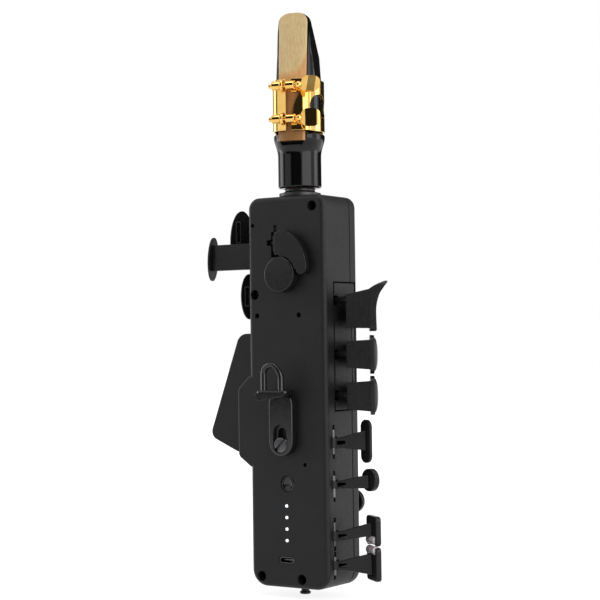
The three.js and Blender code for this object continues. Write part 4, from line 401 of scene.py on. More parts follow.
class Nodes:
    """A short way to build one material's node tree."""

    def __init__(self, name: str) -> None:
        """Starts a material that holds only a Principled shader."""
        self.material = bpy.data.materials.new(name)
        self.material.use_nodes = True
        self.tree = self.material.node_tree
        self.shader = self.tree.nodes["Principled BSDF"]
        self.where = self.tree.nodes.new("ShaderNodeTexCoord").outputs["Object"]

    def add(self, kind: str, source: bpy.types.NodeSocket, into: "str | int" = "Vector",
            **values: "float | Sequence[float]") -> bpy.types.Node:
        """Adds a node that one socket feeds.

        Args:
            kind: The end of its type's name.
            source: What feeds it.
            into: The socket of the node that is fed.
            values: Plain values of its other sockets, with spaces written as underscores.

        Returns:
            The node.
        """
        node = self.tree.nodes.new("ShaderNode" + kind)
        for name, value in values.items():
            node.inputs[name.replace("_", " ")].default_value = value
        self.tree.links.new(source, node.inputs[into])
        return node

    def noise(self, scale: float, detail: float = 3, stretch: Place = (1, 1, 1),
              rough: float = 0.55) -> bpy.types.NodeSocket:
        """A noise pattern on Object coordinates.

        Args:
            scale: Repeats per metre.
            detail: Number of finer layers.
            stretch: Scale along each axis.
            rough: Strength of the finer layers.

        Returns:
            The pattern's factor socket.
        """
        mapping = self.add("Mapping", self.where, Scale=stretch)
        return self.add("TexNoise", mapping.outputs["Vector"], Scale=scale, Detail=detail,
                        Roughness=rough).outputs["Fac"]

    def cells(self, scale: float) -> bpy.types.NodeSocket:
        """A pattern of round cells on Object coordinates."""
        return self.add("TexVoronoi", self.where, Scale=scale).outputs["Distance"]

    def ramp(self, source: bpy.types.NodeSocket,
             stops: Sequence[tuple[float, Sequence[float]]]) -> bpy.types.NodeSocket:
        """Colours chosen by a factor.

        Args:
            source: The factor.
            stops: Position and linear colour of each stop.

        Returns:
            The colour socket.
        """
        node = self.add("ValToRGB", source, "Fac")
        while len(node.color_ramp.elements) < len(stops):
            node.color_ramp.elements.new(0.5)
        for element, (place, colour) in zip(node.color_ramp.elements, stops):
            element.position = place
            element.color = (*colour, 1)
        return node.outputs["Color"]

    def span(self, source: bpy.types.NodeSocket, low: float, high: float) -> bpy.types.NodeSocket:
        """Maps the middle of a pattern onto a range of values."""
        return self.add("MapRange", source, "Value", From_Min=0.3, From_Max=0.7, To_Min=low,
                        To_Max=high).outputs["Result"]

    def between(self, source: bpy.types.NodeSocket, low: float,
                high: float) -> bpy.types.NodeSocket:
        """Nought below one value, one above another, and a slope between them."""
        return self.add("MapRange", source, "Value", From_Min=low,
                        From_Max=high).outputs["Result"]

    def height(self) -> bpy.types.NodeSocket:
        """Z in the frame, in metres."""
        return self.along((0, 0, 1))

    def along(self, way: Place) -> bpy.types.NodeSocket:
        """Distance in the frame along a direction, in metres."""
        node = self.add("VectorMath", self.where, 0)
        node.operation = "DOT_PRODUCT"
        node.inputs[1].default_value = way
        return node.outputs["Value"]

    def math(self, operation: str,
             *values: "bpy.types.NodeSocket | float") -> bpy.types.NodeSocket:
        """One sum on numbers and sockets.

        Args:
            operation: The Math node's operation.
            values: What goes into it, in order.

        Returns:
            The result's socket.
        """
        node = self.tree.nodes.new("ShaderNodeMath")
        node.operation = operation
        for socket, value in zip(node.inputs, values):
            if isinstance(value, bpy.types.NodeSocket):
                self.tree.links.new(value, socket)
            else:
                socket.default_value = value
        return node.outputs[0]

    def blend(self, share: bpy.types.NodeSocket, first: bpy.types.NodeSocket,
              second: bpy.types.NodeSocket) -> bpy.types.NodeSocket:
        """Passes from one colour to another by a factor."""
        mix = self.tree.nodes.new("ShaderNodeMix")
        mix.data_type = "RGBA"
        self.tree.links.new(share, mix.inputs["Factor"])
        colours = [socket for socket in mix.inputs if socket.type == "RGBA"]
        self.tree.links.new(first, colours[0])
        self.tree.links.new(second, colours[1])
        return next(socket for socket in mix.outputs if socket.type == "RGBA")

    def bump(self, source: bpy.types.NodeSocket, depth: float) -> None:
        """Raises the surface by a pattern.

        Args:
            source: The pattern.
            depth: Height in metres of its full range.
        """
        node = self.add("Bump", source, "Height", Strength=1, Distance=depth)
        self.tree.links.new(node.outputs["Normal"], self.shader.inputs["Normal"])

    def link(self, source: bpy.types.NodeSocket, socket: str) -> None:
        """Feeds a shader socket."""
        self.tree.links.new(source, self.shader.inputs[socket])

    def set(self, **values: "float | Sequence[float]") -> None:
        """Sets plain values on the shader, with spaces in their names written as underscores."""
        for name, value in values.items():
            self.shader.inputs[name.replace("_", " ")].default_value = value


@dataclass(frozen=True)
class Plastic:
    """Moulded plastic: a colour with a faint cloud in it, and a grain that breaks up the gloss."""

    name: str
    dark: tuple[float, float, float]
    light: tuple[float, float, float]
    roughness: tuple[float, float]
    grain_scale: float = 2600.0
    grain_depth: float = 0.000012
    specular: float = 0.5

    def material(self) -> bpy.types.Material:
        """Builds the material."""
        nodes = Nodes(self.name)
        cloud = nodes.noise(60, 4)
        nodes.link(nodes.ramp(cloud, ((0.35, self.dark), (0.65, self.light))), "Base Color")
        nodes.link(nodes.span(nodes.noise(400, 3), *self.roughness), "Roughness")
        if self.grain_depth > 0:
            nodes.bump(nodes.noise(self.grain_scale, 2), self.grain_depth)
        nodes.set(Specular_IOR_Level=self.specular)
        return nodes.material


@dataclass(frozen=True)
class Metal:
    """Turned or polished metal with fine marks along one way."""

    name: str
    dark: tuple[float, float, float]
    light: tuple[float, float, float]
    roughness: tuple[float, float]
    marks: Place = (1, 1, 12)
    mark_depth: float = 0.000002

    def material(self) -> bpy.types.Material:
        """Builds the material."""
        nodes = Nodes(self.name)
        nodes.link(nodes.ramp(nodes.noise(90, 3), ((0.35, self.dark), (0.65, self.light))),
                   "Base Color")
        marks = nodes.noise(1500, 3, self.marks)
        nodes.link(nodes.span(marks, *self.roughness), "Roughness")
        if self.mark_depth > 0:
            nodes.bump(marks, self.mark_depth)
        nodes.set(Metallic=1.0)
        return nodes.material


@dataclass(frozen=True)
class Cane:
    """Reed cane: long fibres, a golden bark below and a pale shaved vamp above. A painted highlight
    also turns the bark peach along its right edge.

    The shaved part ends in a curve: the bark climbs higher at both edges than in the middle. All
    sizes are in metres in the frame.

    Attributes:
        across: Direction over the reed's width.
        middle: Where the reed's middle lies along it.
        right_edge: Where its right edge lies along it; the painted highlight on the bark ends
            there.
        low: Height at which the shaving starts in the middle.
        rise: How steeply that height climbs towards the edges, by the fourth power.
        blend: Half the height over which bark passes into the vamp.
        climb: Heights between which the bark turns from gold to peach.
    """

    name: str = "reed_cane"
    across: Place = (0.97093, 0.23938, 0.0)
    middle: float = 0.0050
    right_edge: float = 0.0139
    low: float = 0.1549
    rise: float = 1.2e6
    blend: float = 0.0018
    climb: tuple[float, float] = (0.129, 0.150)

    def material(self) -> bpy.types.Material:
        """Builds the material."""
        nodes = Nodes(self.name)
        fibres = nodes.noise(2400, 4, (1, 1, 0.03))
        stains = nodes.noise(220, 3, (1, 1, 0.35))
        bark = nodes.ramp(fibres, ((0.3, (0.30, 0.135, 0.036)), (0.7, (0.47, 0.235, 0.075))))
        vamp = nodes.ramp(fibres, ((0.3, (0.72, 0.50, 0.22)), (0.7, (0.90, 0.70, 0.38))))
        worn = nodes.ramp(fibres, ((0.3, (0.60, 0.42, 0.16)), (0.7, (0.76, 0.56, 0.24))))
        aged = nodes.blend(nodes.span(stains, 0.0, 0.35), vamp, worn)
        side = nodes.math("SUBTRACT", nodes.along(self.across), self.middle)
        edge = nodes.math("MULTIPLY", nodes.math("POWER", nodes.math("ABSOLUTE", side), 4.0),
                          self.rise)
        level = nodes.math("SUBTRACT", nodes.height(), edge)
        peach = nodes.ramp(fibres, ((0.3, (0.64, 0.31, 0.10)), (0.7, (0.84, 0.47, 0.18))))
        # Painted highlight: the last 0.3 mm of the bark before its right edge is painted peach, as
        # if lit from the right.
        right = nodes.between(nodes.along(self.across), self.right_edge - 0.0003, self.right_edge)
        peach_higher_and_painted_edge_highlight = nodes.math("MAXIMUM", nodes.between(nodes.height(), *self.climb), right)
        shaved = nodes.between(level, self.low - self.blend, self.low + self.blend)
        nodes.link(nodes.blend(shaved, nodes.blend(peach_higher_and_painted_edge_highlight, bark, peach), aged), "Base Color")
        nodes.link(nodes.span(fibres, 0.42, 0.60), "Roughness")
        nodes.bump(fibres, 0.00002)
        return nodes.material


@dataclass(frozen=True)
class Cork:
    """Natural cork with darker pores."""

    name: str = "neck_cork"

    def material(self) -> bpy.types.Material:
        """Builds the material."""
        nodes = Nodes(self.name)
        pores = nodes.cells(900)
        nodes.link(nodes.ramp(pores, ((0.1, (0.12, 0.06, 0.03)), (0.4, (0.38, 0.23, 0.12)))),
                   "Base Color")
        nodes.bump(pores, 0.0001)
        nodes.set(Roughness=0.85)
        return nodes.material


@dataclass(frozen=True)
class Pearl:
    """Mother of pearl: soft bands of cream, pink and grey under a clear coat."""

    name: str = "pearl_roller"

    def material(self) -> bpy.types.Material:
        """Builds the material."""
        nodes = Nodes(self.name)
        bands = nodes.noise(260, 2, (1, 1, 2), 0.7)
        nodes.link(nodes.ramp(bands, ((0.3, (0.42, 0.35, 0.36)), (0.5, (0.66, 0.56, 0.58)),
                                      (0.7, (0.78, 0.74, 0.76)))), "Base Color")
        nodes.set(Roughness=0.25, Coat_Weight=0.7, Coat_Roughness=0.05)
        return nodes.material


@dataclass(frozen=True)
class Lens:
    """A light pipe of frosted clear plastic."""

    name: str = "status_light"

    def material(self) -> bpy.types.Material:
        """Builds the material."""
        nodes = Nodes(self.name)
        glow = nodes.ramp(nodes.noise(500, 2), ((0.3, (0.78, 0.82, 0.90)),
                                                (0.7, (0.92, 0.95, 1.0))))
        nodes.link(glow, "Base Color")
        nodes.link(glow, "Emission Color")
        nodes.set(Roughness=0.3, Emission_Strength=1.2)
        return nodes.material


@dataclass(frozen=True)
class BoardLacquer:
    """Green solder mask with a faint pattern of tracks."""

    name: str = "board_lacquer"

    def material(self) -> bpy.types.Material:
        """Builds the material."""
        nodes = Nodes(self.name)
        brick = nodes.add("TexBrick", nodes.where, Scale=160, Color1=(0.012, 0.09, 0.035, 1),
                          Color2=(0.016, 0.11, 0.045, 1), Mortar=(0.03, 0.17, 0.07, 1))
        nodes.link(brick.outputs["Color"], "Base Color")
        nodes.set(Roughness=0.35)
        return nodes.material


class Finish(Enum):
    """The object's finishes."""

    CASING = Plastic("casing_black", (0.0105, 0.0105, 0.0108), (0.0140, 0.0140, 0.0143),
                     (0.42, 0.52), specular=0.26)
    KEY = Plastic("key_black", (0.0085, 0.0085, 0.0088), (0.0125, 0.0125, 0.0128), (0.24, 0.32),
                  grain_depth=0.000002, specular=0.28)
    HOOK = Plastic("hook_black", (0.0065, 0.0065, 0.0070), (0.0095, 0.0095, 0.0100), (0.12, 0.19),
                   grain_depth=0.000001, specular=0.50)
    EBONITE = Plastic("mouthpiece_black", (0.0030, 0.0030, 0.0034), (0.0050, 0.0050, 0.0054),
                      (0.06, 0.12), grain_depth=0, specular=0.30)
    COLLAR = Plastic("collar_grey", (0.020, 0.020, 0.022), (0.030, 0.030, 0.032), (0.26, 0.38))
    SILICONE = Plastic("silicone_clear", (0.50, 0.52, 0.54), (0.62, 0.64, 0.66), (0.40, 0.50))
    FOIL = Plastic("battery_foil", (0.26, 0.27, 0.29), (0.36, 0.37, 0.39), (0.30, 0.50))
    GOLD = Metal("gold", (0.80, 0.48, 0.12), (0.92, 0.60, 0.20), (0.04, 0.09), (1, 1, 6), 0)
    ROD = Metal("dark_rod", (0.030, 0.030, 0.032), (0.070, 0.070, 0.074), (0.18, 0.30))
    DULL = Metal("dull_steel", (0.08, 0.08, 0.084), (0.15, 0.15, 0.155), (0.24, 0.34))
    # Painted shade: the octave axle is made near-black and almost without shine, standing in for
    # the shade of the slot it lies in.
    AXLE_PAINTED_SHADE_BLACK = Plastic("axle_painted_shade_black", (0.002, 0.002, 0.003), (0.004, 0.004, 0.005), (0.35, 0.45),
                   grain_depth=0, specular=0.15)
    SCREW = Metal("screw_black", (0.020, 0.020, 0.024), (0.040, 0.040, 0.046), (0.30, 0.42))
    CANE = Cane()
    CORK = Cork()
    PEARL = Pearl()
    LIGHT = Lens()
    BOARD = BoardLacquer()

    def made(self) -> bpy.types.Material:
        """The finish's one material, built when it is first asked for."""
        found = bpy.data.materials.get(self.value.name + "_finish")
        if found is None:
            found = self.value.material()
            found.name = self.value.name + "_finish"
        return found


def dress(shape: Shape, name: str, node: str, finish: Finish, body: str = "casing",
          slot: str = "", edge: float = 0.0) -> None:
    """Turns a finished shape into a piece of the object.

    Args:
        shape: The shape, in millimetres on the casing's axes.
        name: The piece's name.
        node: The CAD node that it stands for.
        finish: Its finish.
        body: The body that it rides on.
        slot: Not used; the material slot that it would take its finish from, if it isn't the
            finish's name.
        edge: Width of a fine rounding on its sharp edges, in millimetres.
    """
    mesh = shape.mesh
    bmesh.ops.remove_doubles(mesh, verts=mesh.verts, dist=TINY)
    bmesh.ops.transform(mesh, matrix=TO_FRAME, verts=mesh.verts)
    for face in mesh.faces:
        face.smooth = True
    for line in mesh.edges:
        line.smooth = len(line.link_faces) == 2 and line.calc_face_angle(0) < SMOOTH_ANGLE
    data = bpy.data.meshes.new(name)
    mesh.to_mesh(data)
    data.materials.append(finish.made())
    piece = bpy.data.objects.new(name, data)
    bpy.context.scene.collection.objects.link(piece)
    if edge > 0:
        rounding = piece.modifiers.new("fine edge", "BEVEL")
        rounding.width = edge * MM
        rounding.segments = 2
        rounding.limit_method = "ANGLE"
        rounding.angle_limit = SMOOTH_ANGLE
        rounding.harden_normals = True
    normals = piece.modifiers.new("flat faces stay flat", "WEIGHTED_NORMAL")
    normals.keep_sharp = True
    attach(piece, body)
    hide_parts(node)
    slot or finish.value.name
    LOG.info("%s: %d faces on %s", name, len(data.polygons), body)


def refinish(node: str, finish: Finish) -> None:
    """Gives a CAD node that stays in view a better material."""
    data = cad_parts[node].data
    data.materials.clear()
    data.materials.append(finish.made())
    LOG.info("%s keeps its CAD shape", node)


@dataclass(frozen=True)
class BedSizes:
    """Where a key bed lies in a side wall, in millimetres. Side is 1 for the right wall."""

    side: int
    thickness: float
    low: float
    high: float


@dataclass(frozen=True)
class CasingSizes:
    """Sizes that several sub-assemblies share, in millimetres.

    Lines along Z are given by X and Y, and the hook's screw by X and Z.
    """

    width: float = 47.0
    height: float = 198.0
    wall: float = 2.2
    back_y: float = -15.5
    front_y: float = 15.5
    seam_y: float = 8.5
    bump_front_y: float = 3.1
    neck_y: float = -1.3
    block_rod: Point = (22.8, 10.6)
    lower_pin: Point = (23.0, -9.2)
    stack_rod: Point = (-11.5, 19.7)
    table_rod: Point = (-26.4, 11.3)
    octave_axle: Point = (-6.2, -14.55)
    hook_screw: Point = (-1.4, 72.15)
    bed_step: float = 0.3
    bed_back_y: float = -7.5
    bed_front_y: float = 12.8
    side_bed: BedSizes = BedSizes(1, 4.5, 89.1, 153.8)
    palm_bed: BedSizes = BedSizes(-1, 7.0, 134.0, 191.0)

    @property
    def half(self) -> float:
        """Half the width."""
        return self.width / 2

    @property
    def inner_back_y(self) -> float:
        """Inside of the back wall."""
        return self.back_y + self.wall


CASE = CasingSizes()


@dataclass
class LowerKeySizes:
    """One of the right hand's lower keys, in millimetres and degrees.

    Attributes:
        name: Its node.
        pin: Lower and upper end of its pin.
        root: Lower and upper edge of its arm at the pin.
        tip: Lower and upper edge of its arm at the plate.
        reach: Length of its arm.
        plate: Lower and upper edge of its touch plate.
        plate_width: Width of the plate.
        plate_thickness: Thickness of the plate.
        plate_radius: Rounding of the plate's corners.
        turn: How far the plate is turned about the height.
        roller_z: Height of its roller's axis, or 0 without a roller.
        roller_side: 1 where the roller's room opens upwards, -1 where it opens downwards.
    """

    name: str
    pin: Point
    root: Point
    tip: Point
    reach: float
    plate: Point
    plate_width: float
    plate_thickness: float
    plate_radius: float
    turn: float
    roller_z: float = 0.0
    roller_side: int = 0


LOWER_KEYS = (
    LowerKeySizes("side_key_high_f_sharp", (65.6, 81.9), (70.8, 75.9), (69.4, 79.4), 16.3,
                  (63.1, 84.7), 7.6, 1.7, 3.6, -20),
    LowerKeySizes("side_key_alt_f_sharp", (44.1, 59.0), (50.6, 54.4), (50.5, 57.3), 17.5,
                  (48.9, 60.2), 11.3, 3.2, 5.3, -20),
    LowerKeySizes("pinky_key_e_flat", (19.8, 35.7), (24.6, 29.2), (26.9, 33.4), 18.6,
                  (22.0, 36.8), 14.0, 2.9, 2.0, -38, 24.8, -1),
    LowerKeySizes("pinky_key_low_c", (5.4, 18.6), (10.2, 14.5), (7.6, 18.3), 18.6,
                  (4.5, 21.4), 14.0, 2.9, 2.0, -38, 19.8, 1),
)


@dataclass
class Casing:
    """The two moulded halves, their screws and what shows through the back wall."""

    rim: float = 2.6
    seam_gap: float = 0.25
    seam_edge: float = 0.35
    screws: tuple[Point, ...] = ((16.3, 192.2), (-17.0, 5.1), (7.5, 4.8))
    bed_screw: Point = (-19.4, 148.3)
    pin_holes: tuple[Place, ...] = ((-20.2, 183.8, 1.05), (-18.0, 137.5, 1.35), (7.6, 137.5, 1.35),
                                    (10.2, 62.3, 1.05))
    pillar_radius: float = 3.8
    pillar_end_y: float = 8.35
    bed_pillar_end_y: float = -7.8
    screw_floor: float = 2.0
    screw_hole: float = 2.6
    hook_pad: float = 4.4
    hook_pad_rise: float = 3.7
    hook_hole: float = 2.3
    stack_posts: tuple[float, ...] = (31.5, 106.5, 182.5)
    stack_bore: Point = (29.7, 184.3)
    table_lugs: tuple[float, ...] = (66.4, 127.2)
    table_bore: Point = (63.0, 130.5)
    rod_bore: float = 1.4
    lights: tuple[float, ...] = (41.3, 35.5, 29.7, 23.9)
    light_x: float = -1.3
    light_hole: float = 1.05
    button: Point = (-0.5, 52.4)
    button_hole: float = 4.2
    socket: Point = (-1.7, 14.0)

    def outline(self, inset: float) -> list[Corner]:
        """The casing's outline from behind, drawn in by an amount."""
        side, top, bottom = CASE.half - inset, 6.0 - inset, 8.5 - inset
        return [(side, inset, bottom), (side, CASE.height - inset, top),
                (-side, CASE.height - inset, top), (-side, inset, bottom)]

    def bump(self, inset: float) -> list[Corner]:
        """The outline of the bump on the left wall, drawn in by an amount."""
        left, top, bottom = -CASE.half - 7.6 + inset, 107.3 - inset, 60.3 + inset
        return [(-CASE.half + 4.2, bottom), (-CASE.half + 4.2, top), (-CASE.half, top),
                (left, top - 7, 1.5), (left, bottom + 5.4, 1.5), (-CASE.half, bottom)]

    def bed_room(self, bed: BedSizes) -> Shape:
        """The opening in a side wall that a key bed fills."""
        inner = bed.side * (CASE.half - CASE.bed_step - bed.thickness - SEAT_GAP)
        outer = bed.side * (CASE.half + OVERRUN)
        return Shape.box((min(inner, outer), CASE.bed_back_y - SEAT_GAP, bed.low - SEAT_GAP),
                         (max(inner, outer), CASE.bed_front_y + SEAT_GAP, bed.high + SEAT_GAP))

    def beds(self) -> list[Shape]:
        """Both openings for key beds."""
        return [self.bed_room(CASE.side_bed), self.bed_room(CASE.palm_bed)]

    def pillars(self) -> list[Shape]:
        """Screw pillars and pads inside the back wall."""
        start = CASE.inner_back_y - CASE.wall / 2
        rods = [(place, self.pillar_end_y, self.pillar_radius) for place in self.screws]
        rods.append((self.bed_screw, self.bed_pillar_end_y, self.pillar_radius))
        rods.append((CASE.hook_screw, CASE.inner_back_y + self.hook_pad_rise, self.hook_pad))
        result = [Shape.rod((x, start, z), (x, end, z), radius) for (x, z), end, radius in rods]
        result.append(Shape.box((-13.6, start, 166.0), (-2.5, CASE.inner_back_y + 1.7, 184.8)))
        px, py = CASE.lower_pin
        for key in LOWER_KEYS:
            result.append(Shape.box((CASE.half - 3.7, py - 3.4, key.pin[0] - 0.8),
                                    (CASE.half - 1.1, py + 3.4, key.pin[1] + 0.8)))
        return result

    def back_cuts(self) -> list[Shape]:
        """Every hole, slot and pocket in the back half."""
        near, inside = CASE.back_y - OVERRUN, CASE.inner_back_y + OVERRUN
        holes = [(x, z, self.pillar_end_y - self.screw_floor, self.screw_hole)
                 for x, z in self.screws]
        holes.append((*self.bed_screw, self.bed_pillar_end_y - self.screw_floor, self.screw_hole))
        holes += [(x, z, inside, radius) for x, z, radius in self.pin_holes]
        holes += [(self.light_x, z, inside, self.light_hole) for z in self.lights]
        holes.append((*self.button, inside, self.button_hole))
        cuts = [Shape.rod((x, near, z), (x, end, z), radius) for x, z, end, radius in holes]
        cuts.append(obround_slot(self.socket, 9.5, 3.9, near, inside))
        y, top = CASE.neck_y, CASE.height
        cuts.append(Shape.rod((0, y, top - 5), (0, y, top + 2), 7.2))
        cuts.append(Shape.rod((0, y, -3), (0, y, 4), 2.3))
        x, z = CASE.hook_screw
        cuts.append(Shape.rod((x, near, z), (x, inside + 3, z), self.hook_hole))
        cuts += self.octave_cuts() + self.beds()
        for key in LOWER_KEYS:
            cuts += self.pin_cuts(key)
        return cuts

    def octave_cuts(self) -> list[Shape]:
        """The slot that the octave key's axle and knuckle lie in, and the window at its left."""
        x, deep, near = CASE.octave_axle[0], -10.5, CASE.back_y - OVERRUN
        return [
            Shape.box((x - 0.95, near, 167.2), (x + 0.95, deep, 183.4)),
            Shape.box((x - 2.5, near, 167.2), (x + 2.3, deep, 180.0)),
            Shape.box((x - 5.2, near, 173.1), (x, deep, 175.9)),
        ]

    def pin_cuts(self, key: LowerKeySizes) -> list[Shape]:
        """The groove and the pocket that a lower key's pin and knuckle lie in."""
        px, py = CASE.lower_pin
        floor, behind, outside = px - 4.0, CASE.half - 5.7, CASE.half + OVERRUN
        middle = sum(key.root) / 2
        return [
            Shape.box((floor, py - 0.9, key.pin[0] - 0.3), (outside, py + 0.9, key.pin[1] + 0.3)),
            Shape.box((floor, py - 1.3, key.pin[0] + 1.6), (outside, py + 1.3, key.pin[1] - 1.6)),
            Shape.box((floor, py - 2.3, key.root[0] - 0.5),
                      (outside, py + 3.2, key.root[1] + 0.5)),
            Shape.box((behind, py - 2.2, middle - 1.8), (CASE.half, py + 2.2, middle + 1.8)),
            Shape.box((behind, py, middle - 1.3), (outside, py + 12.0, middle + 1.3)),
        ]

    def back_half(self) -> Shape:
        """The deep back half with the bump."""
        outer = Shape.plate(self.outline(0), Axis.Y, CASE.back_y, CASE.seam_y - self.seam_gap,
                            (self.rim, self.seam_edge), 10, 6)
        bump = Shape.plate(self.bump(0), Axis.Y, CASE.back_y, CASE.bump_front_y, (1.3, 1.3), 4, 4)
        cavity = Shape.plate(self.outline(CASE.wall), Axis.Y, CASE.inner_back_y, CASE.seam_y + 5)
        in_bump = Shape.plate(self.bump(CASE.wall), Axis.Y, CASE.inner_back_y,
                              CASE.bump_front_y - CASE.wall)
        boss = Shape.rod((0, CASE.neck_y, -0.8), (0, CASE.neck_y, CASE.wall), 6.5, None, 0.2, 48)
        hollow = outer.join(bump).cut(cavity, in_bump)
        lips = [Shape.rod((-11.9, CASE.back_y, z), (-8.9, CASE.back_y, z), 0.22, None, 0, 16)
                for z in (172.8, 176.2)]
        return hollow.join(boss, *self.pillars()).cut(*self.back_cuts()).join(*lips)

    def front_half(self) -> Shape:
        """The shallow front half with the posts and lugs for two key rods."""
        outer = Shape.plate(self.outline(0), Axis.Y, CASE.seam_y + self.seam_gap, CASE.front_y,
                            (self.seam_edge, self.rim), 10, 6)
        cavity = Shape.plate(self.outline(CASE.wall), Axis.Y, CASE.seam_y - 5,
                             CASE.front_y - CASE.wall)
        x, y = CASE.stack_rod
        adds = [Shape.box((x - 2.3, CASE.front_y - 1.1, z - 1.5), (x + 2.3, y + 2.3, z + 1.5), 0.5)
                for z in self.stack_posts]
        tx, ty = CASE.table_rod
        adds += [Shape.box((tx - 2.5, ty - 2.5, z - 1.5), (-CASE.half + 1.1, ty + 2.5, z + 1.5),
                           0.5) for z in self.table_lugs]
        rods = [Shape.rod((*rod, ends[0]), (*rod, ends[1]), self.rod_bore) for rod, ends in
                ((CASE.stack_rod, self.stack_bore), (CASE.table_rod, self.table_bore))]
        return outer.cut(cavity).join(*adds).cut(*rods, *self.beds())

    def drain_plug(self) -> Shape:
        """The turned plug under the base."""
        profile = [(0, -4.4), (2.35, -4.4), (2.65, -4.25), (2.75, -3.9), (2.75, -3.3), (2.6, -3.1),
                   (2.0, -3.1), (2.0, 2.5), (2.75, 2.5), (2.75, 4.2), (0, 4.2)]
        return Shape.turned(profile, 48).moved(0, CASE.neck_y, 0)

    def button_cap(self) -> Shape:
        """The dished power button with its flange and stem."""
        x, z = self.button
        face, flange = CASE.back_y + SEAT_GAP, CASE.inner_back_y + SEAT_GAP
        wide, deep, rings, stem = 2.7, 0.4, 12, 3.9
        dish = [(radius, 0.1 + deep * (1 - (radius / wide) ** 2)) for radius in
                (wide * n / rings for n in range(rings + 1))]
        rim = flange - face
        profile = [*dish, (2.8, 0.45), (3.05, 0.45), (3.15, 0.04), (3.3, 0), (3.7, 0.02),
                   (3.85, 0.12), (3.9, 0.3), (3.9, rim), (4.6, rim), (4.6, rim + 0.8),
                   (1.6, rim + 0.8), (1.6, stem), (0, stem)]
        return Shape.turned(profile, 64).placed(HEIGHT_ONTO_Y).moved(x, face, z)

    def charging_socket(self) -> Shape:
        """The charging inlet's metal shell with its tongue."""
        mouth, floor = CASE.back_y + SEAT_GAP, CASE.inner_back_y + 3.7
        x, z = self.socket
        shell = obround_slot(self.socket, 8.9, 3.3, mouth, floor, 0.12)
        room = obround_slot(self.socket, 8.1, 2.5, mouth - OVERRUN, floor - 0.8)
        tongue = Shape.box((x - 3.1, mouth + 2.2, z - 0.3), (x + 3.1, floor - 0.4, z + 0.3), 0.1)
        return shell.cut(room).join(tongue)

    def build(self) -> None:
        """Makes and dresses every piece of the casing."""
        dress(self.back_half(), "casing_back", "back_shell", Finish.CASING)
        dress(self.front_half(), "casing_front", "front_shell", Finish.CASING)
        dress(self.drain_plug(), "drain_plug_turned", "drain_plug", Finish.CASING)
        dress(self.button_cap(), "power_button_cap", "power_button", Finish.HOOK,
              "power_button_body")
        dress(self.charging_socket(), "charging_socket", "usb_c_socket", Finish.DULL,
              slot="steel")
        for place in ("top", "bottom_left", "bottom_right", "left"):
            refinish(f"case_screw_{place}", Finish.SCREW)
        for node, finish in (("mainboard", Finish.BOARD), ("battery", Finish.FOIL),
                             ("pressure_sensor", Finish.COLLAR), ("breath_tube", Finish.SILICONE),
                             ("status_light_guide", Finish.LIGHT)):
            refinish(node, finish)


def obround_slot(centre: Point, width: float, height: float, start: float, end: float,
                 edge: float = 0) -> Shape:
    """A slot with round ends, carried along Y.

    Args:
        centre: Its middle in X and Z.
        width: Width over its round ends.
        height: Height.
        start: Where it begins on Y.
        end: Where it ends.
        edge: Rounding of its first rim.

    Returns:
        The closed shape.
    """
    x, z = centre
    reach = (width - height) / 2
    outline = [*arc((x + reach, z), height / 2, -90, 90),
               *arc((x - reach, z), height / 2, 90, 270)]
    return Shape.plate(outline, Axis.Y, start, end, (edge, 0))


